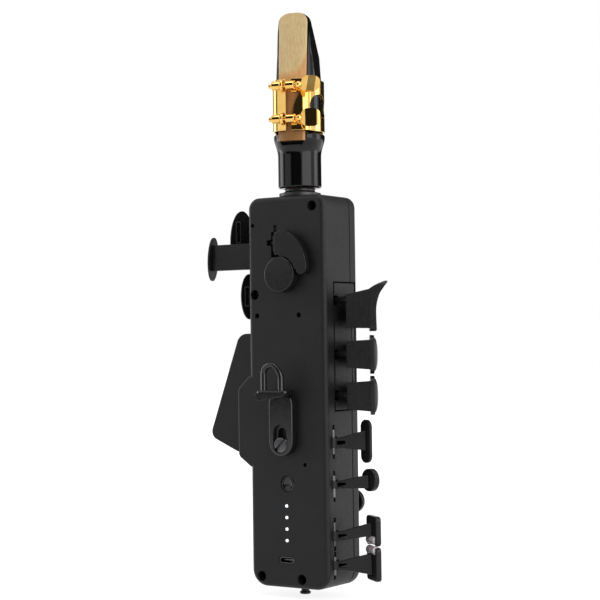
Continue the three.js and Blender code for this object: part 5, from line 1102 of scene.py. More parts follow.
@dataclass
class Mouthpiece:
    """Collar, cork, mouthpiece, reed and the ligature with its two thumb screws."""

    turn: float = 13.85
    bottom: float = 202.4
    tip: float = 292.4
    shank: float = 11.1
    barrel: float = 11.9
    heel: Point = (-10.9, 224.0)
    tip_y: float = -6.1
    reed_low: float = 226.0
    reed_high: float = 292.2
    vamp: float = 258.0
    reed_thickness: float = 3.0
    band_low: float = 231.0
    band_high: float = 257.2
    band_radius: float = 12.3
    band_front: float = -14.6
    slot: Point = (-1.6, 1.4)
    screw_y: float = -18.9
    screw_zs: Point = (236.4, 253.2)
    upper_turn: float = -24.0

    def where(self) -> Matrix:
        """Place of the mouthpiece's own axes on the casing."""
        return about_z(self.turn, (0, CASE.neck_y, 0))

    def table_y(self, z: float) -> float:
        """Y of the flat table under the reed, at a height."""
        share = (z - self.heel[1]) / (self.tip - self.heel[1])
        return self.heel[0] + share * (self.tip_y - self.heel[0])

    def collar(self) -> Shape:
        """The collar on the casing and the tube that carries the cork."""
        flare = curve([(10.35, 200.15), (8.3, 200.5), (7.6, 201.3)], 8)
        profile = [(4, 190.8), (6.9, 190.8), (6.9, 198.3), (10.4, 198.3), (10.65, 198.45),
                   (10.7, 198.7), (10.7, 199.8), (10.6, 200.05), *flare, (7.6, 202.0),
                   (7.5, 202.1), (6, 202.1), (6, 221.8), (5.8, 222), (4.2, 222), (4, 221.8)]
        return Shape.turned(profile, 96).moved(0, CASE.neck_y, 0)

    def cork(self) -> Shape:
        """The cork sleeve."""
        profile = [(6.3, 202.4), (7.8, 202.4), (8.0, 202.6), (8.0, 220.6), (7.7, 221.0),
                   (6.3, 221.0)]
        return Shape.turned(profile).moved(0, CASE.neck_y, 0)

    def body(self) -> Shape:
        """The mouthpiece: a turned barrel cut to its beak, its table and its window."""
        bottom, top, below = self.bottom, self.tip, self.bottom - OVERRUN
        foot = arc((self.shank - 1.2, bottom + 1.2), 1.2, -90, 0, 6)
        shoulder = curve([(self.shank, 218.5), (self.shank, 223.2), (13.0, 225.2), (13.1, 228.6)],
                         14)
        taper = curve([(self.barrel, 246.0), (11.7, 256.0), (11.0, 270.0)], 10)
        profile = [(0, bottom), *foot, *shoulder, (13.1, 229.3), (13.0, 229.55), (12.1, 230.5),
                   (self.barrel, 230.9), (self.barrel, 245.0), *taper, (10.9, top), (0, top)]
        wide = 26.0
        beak = curve([(12.6, 252.0), (7.4, 266.0), (0.6, 281.0), (self.tip_y + 1.5, top)], 24)
        side = [(-wide, below), (wide, below), (wide, 252.0), *beak, (self.tip_y, top), self.heel,
                (-wide, self.heel[1])]
        edge = [*curve([(11.5, 250.0), (9.5, 271.0), (8.2, 286.9)], 14),
                *curve([(8.2, 286.9), (8.2, top), (0, top)], 12)[1:]]
        front = [(-wide, below), (wide, below), (wide, 250.0), *edge,
                 *[(-x, z) for x, z in reversed(edge[:-1])], (-wide, 250.0)]
        solid = Shape.turned(profile, 128)
        solid = solid.common(Shape.plate(side, Axis.X, -wide, wide))
        solid = solid.common(Shape.plate(front, Axis.Y, -wide, wide))
        bore = Shape.rod((0, 0, below), (0, 0, 227), 8.3, None, 0, 64)
        chamber = Shape.rod((0, 0, bottom), (0, 0, 266.4), 5.4, None, 0, 48)
        wedge = Shape.plate([(-12.9, 250.0), (0, 250.0), (-4.6, 273.0), (self.tip_y, 285.0),
                             (-12.9, 285.0)], Axis.X, -5.25, 5.25)
        return solid.cut(bore, chamber, wedge)

    def reed(self) -> Shape:
        """The reed: a round bark at the heel, shaved to a thin tip."""
        def at(z: float, thickness: float) -> Point:
            """A point of the reed's side view over the table."""
            return (self.table_y(z) - SEAT_GAP - thickness, z)

        low, high, thick = self.reed_low, self.reed_high, self.reed_thickness
        reach = high - self.vamp
        vamp = [at(z, thick - 2.5 * ((z - self.vamp) / reach) ** 0.85) for z in
                (self.vamp + reach * n / 12 for n in range(1, 13))]
        side = [at(low, 0), at(high, 0), *reversed(vamp), at(self.vamp - 0.6, thick),
                at(low, thick)]
        outline = [(7.1, low), (7.8, high, 5.5), (-7.8, high, 5.5), (-7.1, low)]
        stock = Shape.plate(side, Axis.X, -9, 9).common(Shape.plate(outline, Axis.Y, -20, 0))
        tilt = math.atan2(self.tip_y - self.heel[0], self.tip - self.heel[1])
        middle, bark_radius = 240.0, 12.5
        back = self.table_y(middle) - SEAT_GAP - thick
        bark = Shape.rod((0, 0, -60), (0, 0, 60), bark_radius, None, 0, 128)
        bark.placed(Matrix.Rotation(-tilt, 4, "X")).moved(0, back + bark_radius, middle)
        return stock.common(bark)

    def band_outline(self, grow: float) -> list[Corner]:
        """The ligature's outline from above: round behind, gently bowed across the reed."""
        bow = 17.0
        front = arc((0, self.band_front + bow), bow + grow, -114, -66, 20)
        (left, y), (right, _) = front[0], front[-1]
        return [*front[:-1],
                *curve([(right, y), (right + 2.1, y + 1.0), (right + 3.0, y + 3.2)], 8),
                *arc((0, 0), self.band_radius + grow, -30, 210, 96),
                *curve([(left - 3.0, y + 3.2), (left - 2.1, y + 1.0), (left, y)], 8)[:-1]]

    def band(self) -> Shape:
        """The ligature's sheet with its window, its slot and the barrels for the screws."""
        low, high = self.band_low, self.band_high
        middle = sum(self.screw_zs) / 2
        sheet = Shape.plate(self.band_outline(0.8), Axis.Z, low, high, (0.2, 0.2), 10, 3)
        sheet = sheet.cut(Shape.plate(self.band_outline(0), Axis.Z, low - 2, high + 2, (0, 0), 10))
        slot = Shape.box((self.slot[0], -25, low - 2), (self.slot[1], -12.6, high + 2))
        sweep = curve([(6.1, middle + 5.4), (2.1, middle), (2.4, middle - 5.4)], 16)
        bay = Shape.plate([*sweep, (0, middle - 5.4), (0, middle + 5.4)], Axis.Y, -25, -12.6)
        window = Shape.plate([(9.0 * math.cos(a), middle - 1.2 + 6.4 * math.sin(a)) for a in
                              (math.tau * n / 64 for n in range(64))], Axis.X, 6, 26)
        window.placed(about_z(-12))
        parts, bores, y = [], [], self.screw_y
        for z in self.screw_zs:
            for start, end in ((-7.4, -2.9), (0.0, 4.7)):
                parts.append(Shape.rod((start, y, z), (end, y, z), 2.3, None, 0.35, 48))
                parts.append(Shape.box((start, y, z - 1.15), (end, -15.0, z + 1.15), 0.2))
            bores.append(Shape.rod((-10, y, z), (7, y, z), 1.4))
        return sheet.cut(slot, bay, window).join(*parts).cut(*bores)

    def screw(self, z: float, turn: float) -> Shape:
        """A thumb screw: shank, collar, ball and round paddle.

        Args:
            z: Its height.
            turn: How far it is turned about its own line, in degrees.

        Returns:
            The screw on the mouthpiece's own axes.
        """
        ball_x, length = 6.8, 10.6
        shank = Shape.rod((-9.2, 0, 0), (ball_x, 0, 0), 1.1, None, 0.2)
        collar = Shape.rod((-2.6, 0, 0), (-1.1, 0, 0), 3.1, None, 0.4, 64)
        start, half = 0.9, 4.55
        leaf = Shape.turned([(0, -half), (12.0, -half), (12.0, half), (0, half)], 256)
        leaf.moved(start + length / 2 - 1.6, 11.1, 0)
        paddle = Shape.plate(rectangle(start, start + length, -half, half, 4.1), Axis.Y, -1.2, 0.9,
                             (0.2, 0.45), 16, 4).common(leaf)
        paddle.moved(ball_x, 0, 0)
        whole = shank.join(collar, Shape.ball((ball_x, 0, 0), 1.8), paddle)
        return whole.placed(Matrix.Rotation(math.radians(turn), 4, "X")).moved(0, self.screw_y, z)

    def build(self) -> None:
        """Makes and dresses the neck and everything on it."""
        dress(self.collar(), "neck_collar_turned", "neck_collar", Finish.COLLAR)
        dress(self.cork(), "neck_cork_sleeve", "neck_cork", Finish.CORK, slot="cork")
        where = self.where()
        dress(self.body().placed(where), "mouthpiece_body_piece", "mouthpiece", Finish.EBONITE,
              "mouthpiece_body", edge=0.25)
        dress(self.reed().placed(where), "reed_shaved", "reed", Finish.CANE, "mouthpiece_body",
              edge=0.12)
        dress(self.band().placed(where), "ligature_sheet", "ligature_band", Finish.GOLD,
              "mouthpiece_body")
        for name, z, turn in zip(("lower", "upper"), self.screw_zs, (0, self.upper_turn)):
            node = f"ligature_screw_{name}"
            dress(self.screw(z, turn).placed(where), f"ligature_thumb_screw_{name}", node,
                  Finish.GOLD, f"{node}_body")


@dataclass
class ThumbSide:
    """The thumb rest, the octave key, and the thumb hook with its strap ring."""

    rest: Place = (-0.6, 158.0, 8.95)
    hook_face_y: float = -20.2
    ring_y: float = -26.4
    shelf_z: float = 99.857
    shelf_thickness: float = 2.6
    shelf_depth: float = 8.6
    knuckle: Point = (170.0, 178.0)
    axle_ends: Point = (168.0, 182.8)

    def thumb_rest(self) -> Shape:
        """The round pad with a soft rim."""
        x, z, radius = self.rest
        height = 5.4
        profile = [(0, 0), (radius - 0.9, 0), (radius - 0.35, 0.12), (radius - 0.08, 0.4),
                   (radius, 0.8), (radius, height), (0, height)]
        face = CASE.back_y - height - SEAT_GAP
        return Shape.turned(profile, 96).placed(HEIGHT_ONTO_Y).moved(x, face, z)

    def octave_key(self) -> Shape:
        """The curved plate round the thumb rest, on its knuckle."""
        x, z, radius = self.rest
        left, inner = -3.4, radius + 0.6
        low = z + inner + 0.3
        end = (x + 13.2, z + 2.8)
        outline = [(left, low + 0.6), (x, low), *arc((x, z), inner, 84, 14.4, 16),
                   *arc(end, 3.1, 180, 360, 12),
                   *curve([(end[0] + 3.1, end[1]), (end[0] + 3.1, z + 13.5), (x + 9, z + 22.2),
                           (x + 1, z + 22.2)], 18),
                   (left, z + 21.0)]
        x, y = CASE.octave_axle
        low, high = self.knuckle
        near, tail_low, tail_high = -17.9, 173.9, 175.7
        plate = Shape.plate(outline, Axis.Y, -20.8, -17.2, (0.7, 0.3), 4, 3)
        neck = Shape.box((x + 0.2, near, low), (x + 1.4, y, high), 0.25)
        bridge = Shape.box((x + 0.2, near, low), (x + 4.4, -16.6, high), 0.2)
        knuckle = Shape.rod((x, y, low), (x, y, high), 1.5, None, 0.15)
        tail = Shape.box((x - 5.4, y + 1.2, tail_low), (x, y + 2.0, tail_high), 0.15)
        heel = Shape.box((x - 0.6, y - 0.6, tail_low), (x + 0.6, y + 2.0, tail_high))
        return plate.join(neck, bridge, knuckle, tail, heel).cut(self.axle(1.1))

    def axle(self, radius: float, edge: float = 0) -> Shape:
        """A bar on the octave key's axis: its axle, or the bore for it."""
        low, high = ((*CASE.octave_axle, z) for z in self.axle_ends)
        return Shape.rod(low, high, radius, None, edge)

    def obround(self, width: float, low: float, high: float) -> list[Corner]:
        """A tall outline with round ends about the hook's middle."""
        x, half = CASE.hook_screw[0], width / 2
        return rectangle(x - half, x + half, low, high, half)

    def ring(self) -> Shape:
        """The strap ring: a round tube from the shelf over a peak and back."""
        radius, foot, top = 1.5, 98.6, self.shelf_z + 12.8
        left, right, y = -6.7, 3.7, self.ring_y
        way = [(left, foot), (left, top - 5.5),
               *curve([(left, top - 4.5), (left, top - 0.4), (-1.6, top)], 8),
               *curve([(-0.8, top - 0.2), (right - 0.4, top - 3.2), (right, top - 6.6)], 8),
               (right, foot)]
        return Shape.tube([(x, y, z) for x, z in way], radius)

    def hook(self) -> Shape:
        """The slotted plate, its shelf with a drooping lip, and the ring."""
        face, back = self.hook_face_y, CASE.back_y - SEAT_GAP
        plate = Shape.plate(self.obround(14.3, 66.6, 99.4), Axis.Y, face, back, (0.9, 0.2), 14, 4)
        left, right, outer, near = -10.6, 7.6, face - self.shelf_depth, face - OVERRUN
        top, under = self.shelf_z, self.shelf_z - self.shelf_thickness
        shelf = Shape.plate([(right, face + 0.4), (right, outer, 2.6), (left, outer, 2.6),
                             (left, face + 0.4)], Axis.Z, under, top, (0.5, 0.7), 8, 3)
        bridge = Shape.box((-8.55, face - 1.3, under), (5.75, face + 2.2, top), 0.4)
        lip = Shape.plate([(right, 97.1, 1.3), (right, 98.6), (left, 98.6), (left, 94.3, 2.6)],
                          Axis.Y, outer, outer + 2.4, (0.7, 0.7), 8, 3)
        sink = Shape.plate(self.obround(8.5, 67.9, 82.6), Axis.Y, near, face + 1.8, (0, 0), 14)
        through = Shape.plate(self.obround(5.0, 69.65, 80.85), Axis.Y, near, back + OVERRUN,
                              (0, 0), 14)
        return plate.join(shelf, bridge, lip, self.ring()).cut(sink, through)

    def hook_screw(self) -> Shape:
        """The slotted screw that clamps the hook."""
        face = self.hook_face_y
        profile = [(0, 0), (3.3, 0), (3.7, 0.12), (3.9, 0.4), (3.9, 1.5), (2.0, 1.5), (2.0, 9.6),
                   (0, 9.6)]
        screw = Shape.turned(profile, 64).placed(HEIGHT_ONTO_Y).moved(0, face, 0)
        slot_turn, slot_half, slot_depth = -43, 0.85, 1.35
        slot = Shape.box((-8, face - 1, -slot_half), (8, face + slot_depth, slot_half))
        slot.placed(Matrix.Rotation(math.radians(slot_turn), 4, "Y"))
        x, z = CASE.hook_screw
        return screw.cut(slot).moved(x, 0, z)

    def build(self) -> None:
        """Makes and dresses the pieces on the player's side."""
        dress(self.thumb_rest(), "thumb_rest_pad", "thumb_rest", Finish.KEY)
        dress(self.octave_key(), "octave_key_plate", "octave_key", Finish.KEY, "octave_key_body")
        dress(self.axle(0.8, 0.1), "octave_axle_pin", "octave_axle", Finish.AXLE_PAINTED_SHADE_BLACK, slot="steel")
        dress(self.hook(), "thumb_hook_cast", "thumb_hook", Finish.HOOK, "thumb_hook_body")
        dress(self.hook_screw(), "hook_clamp_screw", "thumb_hook_screw", Finish.DULL,
              slot="screw_black")


@dataclass
class BlockKeySizes:
    """One key that swings on a side rod, in millimetres and degrees.

    Attributes:
        name: Its node.
        low: Lower edge of its arm.
        high: Upper edge of its arm.
        cap_low: Lower edge of its touch cap.
        cap_high: Upper edge of the cap.
        knuckle_z: Height of the knuckle's middle.
        flare_low: How far the arm's outer end widens downwards.
        flare_high: How far it widens upwards.
        plunger_z: Height of its plunger, or 0 without one.
        horn: Whether its touch curls outwards at the top.
        reach_out: How far the arm reaches out from the rod.
        reach_back: How far it reaches from the rod towards the player.
        cap_width: Width of the cap.
        turn: How far the cap is turned about the height.
        leg_out: Distance of a straight arm from the rod, or 0 for an angled one.
        arm_inset: How far an angled arm stops short of the cap's edge.
        lean: How far the cap leans about its own width.
        widest: Height at which an oval cap is widest, or 0 for its middle.
    """

    name: str
    low: float
    high: float
    cap_low: float
    cap_high: float
    knuckle_z: float
    flare_low: float = 0.0
    flare_high: float = 0.0
    plunger_z: float = 0.0
    horn: bool = False
    reach_out: float = 21.7
    reach_back: float = 17.8
    cap_width: float = 14.4
    turn: float = 33.85
    leg_out: float = 0.0
    arm_inset: float = 0.0
    lean: float = 0.0
    widest: float = 0.0


@dataclass
class BlockKeys:
    """Side keys on the right wall and palm keys on the left, with their beds and rods."""

    knuckle_length: float = 9.0
    neck: float = 1.2
    bore_radius: float = 1.1
    plunger_back: float = 15.4
    rod_overhang: float = 6.1
    side_keys: tuple[BlockKeySizes, ...] = (
        BlockKeySizes("side_key_high_e", 130.6, 147.3, 128.8, 153.9, 138.0, 0.4, 2.7, 144.6, True),
        BlockKeySizes("side_key_c", 110.9, 124.1, 107.6, 126.9, 117.4, 1.2, 0.5, 117.4),
        BlockKeySizes("side_key_b_flat", 90.0, 103.3, 87.2, 106.6, 96.8, 1.0, 1.0, 96.8),
    )
    palm_keys: tuple[BlockKeySizes, ...] = (
        BlockKeySizes("palm_key_d", 162.0, 175.7, 156.8, 179.8, 168.8, plunger_z=168.8,
                      reach_out=30.7, reach_back=18.5, cap_width=8.3, turn=0.0, leg_out=2.4,
                      lean=-3.4),
        BlockKeySizes("palm_key_e_flat", 176.4, 188.2, 167.2, 193.8, 182.4, reach_out=21.6,
                      reach_back=11.0, cap_width=13.7, turn=30.0, arm_inset=2.2, widest=176.6),
        BlockKeySizes("palm_key_f", 142.9, 153.7, 136.2, 160.2, 147.6, reach_out=15.4,
                      reach_back=10.6, cap_width=9.6, turn=30.0, arm_inset=1.1),
    )

    def on_rod(self, side: int) -> Matrix:
        """Place of a side's rod, with X pointing outwards and Y towards the player."""
        x, y = CASE.block_rod
        return Matrix.Translation((side * x, y, 0)) @ Matrix.Diagonal((side, -1, 1, 1))

    def knuckle(self, key: BlockKeySizes) -> list[Shape]:
        """The knuckle on the rod and its neck."""
        half = self.knuckle_length / 2
        low, high = key.knuckle_z - half, key.knuckle_z + half
        return [Shape.rod((0, 0, low), (0, 0, high), 1.8, None, 0.15),
                Shape.box((0, -self.neck, low), (5, self.neck, high), 0.15)]

    def bore(self, key: BlockKeySizes) -> Shape:
        """The bore through a knuckle."""
        reach = self.knuckle_length
        return Shape.rod((0, 0, key.knuckle_z - reach), (0, 0, key.knuckle_z + reach),
                         self.bore_radius)

    def plunger(self, key: BlockKeySizes, out: float) -> Shape:
        """The short cone that reaches into the bed's hole."""
        back, z = self.plunger_back, key.plunger_z
        return Shape.rod((-0.6, back, z), (out + 1.2, back, z), 1.25, 2.5)

    def cap_matrix(self, key: BlockKeySizes, rim: float) -> tuple[Matrix, Point]:
        """Place of a cap: its own Z points away from the arm, its own Y is height.

        Args:
            key: The key's sizes.
            rim: Width that the arm's face falls short of the cap's.

        Returns:
            The matrix, and the far end of the arm's outer face.
        """
        across = key.cap_width - rim
        turn = math.radians(key.turn)
        far = (key.reach_out - across * math.sin(turn), key.reach_back - across * math.cos(turn))
        middle = ((key.reach_out + far[0]) / 2, (key.reach_back + far[1]) / 2, 0)
        return Matrix.Translation(middle) @ self.cap_basis(key), far

    def cap_basis(self, key: BlockKeySizes) -> Matrix:
        """Turn of a cap: its own X runs along the arm's end, Y is height and Z points away."""
        turn = math.radians(key.turn)
        along = Vector((math.sin(turn), math.cos(turn), 0))
        away = Vector((math.cos(turn), -math.sin(turn), 0))
        return Matrix((along, Vector((0, 0, 1)), away)).transposed().to_4x4()

    def side_key(self, key: BlockKeySizes) -> Shape:
        """A side key: a flared block with a crowned touch on its outer end."""
        matrix, far = self.cap_matrix(key, 1.025)
        out, back, inner, neck = key.reach_out, key.reach_back, 7.3, self.neck
        plan = [(3.8, neck), (inner, far[1], 0.6), (inner, back, 0.6), (out, back), far,
                (5.0, -neck), (3.8, -neck)]
        low, high = key.low - key.flare_low, key.high + key.flare_high
        block = Shape.plate(plan, Axis.Z, low, high, (0.35, 0.35), 3, 2)
        sides = [(-1, key.low), (inner, key.low), (out + 1, low), (out + 1, high),
                 (inner, key.high), (-1, key.high)]
        block = block.common(Shape.plate(sides, Axis.Y, -4, back + 3))
        half = key.cap_width / 2
        if key.horn:
            cap = self.horn(key)
        else:
            middle = (key.cap_low + key.cap_high) / 2
            outline = rectangle(-half, half, key.cap_low - middle, key.cap_high - middle, 4.2)
            cap = Shape.crowned(outline, 2.05, 1.9, 0.7).moved(0, middle, 0)
        cap.placed(matrix)
        return block.join(cap, self.plunger(key, inner), *self.knuckle(key)).cut(self.bore(key))

    def horn(self, key: BlockKeySizes) -> Shape:
        """The high touch whose top curls outwards, on the cap's own axes."""
        low, half = key.cap_low, key.cap_width / 2
        profile = [(0, low), (3.0, low), (3.4, low + 0.5),
                   *curve([(3.4, low + 0.6), (3.2, 133.7), (3.2, 138.6)], 6),
                   *curve([(3.2, 138.6), (3.2, 143.1), (5.1, 147.6)], 8)[1:],
                   *curve([(5.1, 147.6), (7.05, 150.7), (9.0, 153.0)], 6)[1:],
                   *arc((8.3, 153.2), 0.7, 0, 90, 4),
                   *curve([(8.1, 153.9), (2.55, 152.0), (0, 150.0)], 10)]
        body = Shape.plate([(z, out) for out, z in profile], Axis.X, -half, half, (0.9, 0.9), 3, 4)
        mask = Shape.plate(rectangle(-half, half, low, key.cap_high, 3.2), Axis.Z, -1, 12)
        return body.common(mask)

    def palm_key(self, key: BlockKeySizes) -> Shape:
        """A palm key: an arm that ends in an oval touch."""
        matrix, far = self.cap_matrix(key, 1.2)
        arm = self.straight_arm(key) if key.leg_out > 0 else self.angled_arm(key, far)
        middle = (key.cap_low + key.cap_high) / 2
        egg = oval(key.cap_width, key.cap_low - middle, key.cap_high - middle,
                   (key.widest or middle) - middle)
        cap = Shape.crowned(egg, 1.2, 0.9, 0.4)
        lean = Matrix.Rotation(math.radians(key.lean), 4, "X")
        cap.placed(matrix @ Matrix.Translation((0, middle, 0)) @ lean)
        parts = [cap, *self.knuckle(key)]
        if key.plunger_z:
            parts.append(self.plunger(key, key.leg_out))
        return arm.join(*parts).cut(self.bore(key))

    def straight_arm(self, key: BlockKeySizes) -> Shape:
        """An arm that runs back along the casing, then straight out."""
        leg, out, back, wide, thick = key.leg_out, key.reach_out, 16.4, 3.2, 2.4
        plan = [(leg, -self.neck, 0.5), (leg, back, 1.2), (out, back, 0.4),
                (out, back - thick, 0.4), (leg + wide, back - thick, 1.2),
                (leg + wide, -self.neck, 0.5)]
        return Shape.plate(plan, Axis.Z, key.low, key.high, (0.4, 0.4), 5, 2)

    def angled_arm(self, key: BlockKeySizes, far: Point) -> Shape:
        """An arm that runs out to the cap and along it, hollowed from its end.

        Args:
            key: The key's sizes.
            far: Where the arm meets the cap's front edge.

        Returns:
            The arm.
        """
        turn, inward, wall = math.radians(key.turn), 3.2, 0.7
        near = (key.reach_out - key.arm_inset * math.sin(turn),
                key.reach_back - key.arm_inset * math.cos(turn))
        plan = [(3.8, self.neck), (far[0] - inward, far[1] + inward / 2, 2.0),
                (near[0] - inward, near[1]), near, (far[0], far[1] - inward / 2, 1.0),
                (3.8, -self.neck)]
        arm = Shape.plate(plan, Axis.Z, key.low, key.high, (0.25, 0.25), 5, 2)
        pocket = Shape.box((-5, key.low + wall, wall - inward), (2, key.high - wall, -wall), 0.3)
        pocket.placed(Matrix.Translation((*near, 0)) @ self.cap_basis(key))
        return arm.cut(pocket)

    def span(self, keys: Sequence[BlockKeySizes]) -> tuple[float, float]:
        """Lowest and highest point of the rod under some keys."""
        zs = [key.knuckle_z for key in keys]
        return min(zs) - self.rod_overhang, max(zs) + self.rod_overhang

    def bed(self, bed: BedSizes, keys: Sequence[BlockKeySizes]) -> Shape:
        """The bed in a side wall, with its channel, its knuckle pockets and its plunger holes.

        Args:
            bed: Its place and size.
            keys: The keys on it.

        Returns:
            The bed.
        """
        x, y = CASE.block_rod
        outer, past = CASE.half - CASE.bed_step, CASE.half + OVERRUN
        inner = outer - bed.thickness
        shy, channel, pocket, pocket_half = 0.3, 1.1, 2.1, 4.8
        block = Shape.box((inner, CASE.bed_back_y + 4 * shy, bed.low + shy),
                          (outer, CASE.bed_front_y, bed.high - shy), 0.3)
        first, last = self.span(keys)
        cuts = [Shape.box((x - channel, y - channel, first - RUN_GAP),
                          (past, y + channel, last + RUN_GAP))]
        for key in keys:
            cuts.append(Shape.box((x - pocket, y - pocket, key.knuckle_z - pocket_half),
                                  (past, y + pocket, key.knuckle_z + pocket_half)))
            if key.plunger_z:
                hole_y = y - self.plunger_back
                cuts.append(Shape.rod((inner - OVERRUN, hole_y, key.plunger_z),
                                      (past, hole_y, key.plunger_z), 2.7))
        return block.cut(*cuts).placed(Matrix.Diagonal((bed.side, 1, 1, 1)))

    def build(self) -> None:
        """Makes and dresses the side keys and the palm keys."""
        x, y = CASE.block_rod
        for kind, bed, keys, maker in (("side", CASE.side_bed, self.side_keys, self.side_key),
                                       ("palm", CASE.palm_bed, self.palm_keys, self.palm_key)):
            dress(self.bed(bed, keys), f"{kind}_key_bed_moulding", f"{kind}_key_bed",
                  Finish.CASING)
            low, high = self.span(keys)
            rod = Shape.rod((bed.side * x, y, low), (bed.side * x, y, high), 0.8, None, 0.1)
            dress(rod, f"{kind}_key_rod_steel", f"{kind}_key_rod", Finish.ROD, slot="steel")
            for key in keys:
                dress(maker(key).placed(self.on_rod(bed.side)), f"{key.name}_touch", key.name,
                      Finish.KEY, f"{key.name}_body")


@dataclass
class LowerKeys:
    """The right hand's lower keys on their pins, with the two rollers."""

    arm_turn: float = 32.0
    arm_half: float = 1.3
    bore_radius: float = 1.1
    roller_radius: float = 2.15
    roller_inset: float = 0.9
    lug: float = 1.6
    pin_radius: float = 1.0
    pin_shy: float = 2.0

    def touch_matrix(self, key: LowerKeySizes) -> Matrix:
        """Place of a key's touch plate, from the key's own pin."""
        turn = math.radians(self.arm_turn)
        out = key.reach * math.cos(turn)
        forward = (key.reach - 0.65) * math.sin(turn)
        return about_z(key.turn, (out, forward, 0))

    def key(self, key: LowerKeySizes) -> Shape:
        """A key: knuckle, finger, notched flaring arm and touch plate."""
        start = 3.4
        side = [(0, key.root[0]), (start, key.root[0]), (key.reach, key.tip[0]),
                (key.reach, key.tip[1]), (start, key.root[1]), (0, key.root[1])]
        half = self.arm_half
        arm = Shape.plate(side, Axis.Y, -half, half, (0.25, 0.25), 4, 2)
        middle = sum(key.root) / 2
        notch = Shape.box((2.0, -half - 2, middle - 1.05), (6.2, half + 2, middle + 1.05))
        arm = arm.cut(notch).placed(about_z(self.arm_turn))
        knuckle = Shape.rod((0, 0, key.root[0]), (0, 0, key.root[1]), 1.9, None, 0.15)
        finger = Shape.box((-5, -0.8, middle - 1.5), (0, 0.8, middle + 1.5), 0.15)
        wide = key.plate_width / 2
        thick = key.plate_thickness
        plate = Shape.plate(rectangle(-wide, wide, *key.plate, key.plate_radius), Axis.Y, 0, thick,
                            (thick / 5, thick / 4), 10, 4)
        parts = [knuckle, finger, plate.placed(self.touch_matrix(key))]
        bore = Shape.rod((0, 0, key.root[0] - OVERRUN), (0, 0, key.root[1] + OVERRUN),
                         self.bore_radius)
        solid = arm.join(*parts).cut(bore)
        return self.with_pin(key, solid) if key.roller_z else solid

    def with_pin(self, key: LowerKeySizes, solid: Shape) -> Shape:
        """Cuts the room for the roller and puts its pin across."""
        wide = key.plate_width / 2
        clear, y = self.roller_radius + RUN_GAP, self.roller_inset
        inner = wide - self.lug
        room = Shape.rod((-inner, y, key.roller_z), (inner, y, key.roller_z), clear, None, 0, 48)
        low, high = sorted((key.roller_z, key.roller_z + key.roller_side * 2 * clear))
        mouth = Shape.box((-inner, y - clear, low), (inner, y + clear, high))
        pin = Shape.rod((-wide + 0.8, y, key.roller_z), (wide - 0.8, y, key.roller_z), 0.5)
        where = self.touch_matrix(key)
        return solid.cut(room.placed(where), mouth.placed(where)).join(pin.placed(where))

    def roller(self, key: LowerKeySizes) -> Shape:
        """A pearl roller with softly rounded ends and a bore."""
        half, radius = key.plate_width / 2 - self.lug - RUN_GAP, self.roller_radius
        profile = [(0.8, -half), (radius - 0.5, -half), (radius - 0.15, -half + 0.15),
                   (radius, -half + 0.5), (radius, half - 0.5), (radius - 0.15, half - 0.15),
                   (radius - 0.5, half), (0.8, half)]
        lie = Matrix.Rotation(math.pi / 2, 4, "Y")
        place = self.touch_matrix(key) @ Matrix.Translation((0, self.roller_inset, key.roller_z))
        return Shape.turned(profile, 48).placed(place @ lie)

    def build(self) -> None:
        """Makes and dresses the lower keys."""
        x, y = CASE.lower_pin
        where = Matrix.Translation((x, y, 0))
        for key in LOWER_KEYS:
            dress(self.key(key).placed(where), f"{key.name}_touch", key.name, Finish.KEY,
                  f"{key.name}_body")
            pin = Shape.rod((x, y, key.pin[0] + self.pin_shy), (x, y, key.pin[1] - self.pin_shy),
                            self.pin_radius, None, 0.1)
            dress(pin, f"{key.name}_steel_pin", f"{key.name}_pin", Finish.DULL, slot="steel")
            if key.roller_z:
                node = f"{key.name}_roller"
                dress(self.roller(key).placed(where), f"{node}_pearl", node, Finish.PEARL,
                      f"{node}_body", "pearl")


@dataclass
class Table:
    """The left little finger's table: a fixed plate and four touches on one rod."""

    rod_ends: Point = (64.9, 128.7)
    rod_radius: float = 1.1
    bore_radius: float = 1.4
    touches: tuple[tuple[str, float, float, float], ...] = (
        ("table_key_low_b_flat", 70.4, 82.4, -58.6),
        ("table_key_low_b", 83.6, 95.4, -54.6),
        ("table_key_low_c_sharp", 96.6, 108.4, -50.2),
        ("table_key_g_sharp", 109.6, 123.2, -45.4),
    )

    def plate(self) -> Shape:
        """The thin plate that stands out from the left wall."""
        x = -CASE.half - SEAT_GAP
        outline = [(x, 66.1), (x, 128.7), (-43.2, 128.7, 4.2), (-63.2, 74.4, 4.2),
                   (-44.5, 66.1, 2.1)]
        start = CASE.bump_front_y + SEAT_GAP
        return Shape.plate(outline, Axis.Y, start, start + 2.5, (0.5, 0.4), 10, 3)

    def touch(self, low: float, high: float, outer: float) -> Shape:
        """One touch: a plate with rounded rims, an arm and a barrel on the rod."""
        x, y = CASE.table_rod
        plate = Shape.plate(rectangle(outer, -29.6, low, high, 2.6), Axis.Y, y - 1.25, y + 1.25,
                            (0.3, 0.6), 8, 3)
        middle, half = (low + high) / 2, (high - low) / 2 - 1.2
        arm = Shape.box((-32.2, y - 1, middle - half / 2), (x, y + 1, middle + half / 2), 0.2)
        barrel = Shape.rod((x, y, middle - half), (x, y, middle + half), 2.3, None, 0.2)
        bore = Shape.rod((x, y, low), (x, y, high), self.bore_radius)
        return plate.join(arm, barrel).cut(bore)

    def build(self) -> None:
        """Makes and dresses the table."""
        dress(self.plate(), "table_plate_moulding", "table_plate", Finish.CASING)
        low, high = ((*CASE.table_rod, z) for z in self.rod_ends)
        rod = Shape.rod(low, high, self.rod_radius, None, 0.15)
        dress(rod, "table_rod_steel", "table_rod", Finish.DULL, slot="steel")
        for name, low, high, outer in self.touches:
            dress(self.touch(low, high, outer), f"{name}_touch", name, Finish.KEY, f"{name}_body")


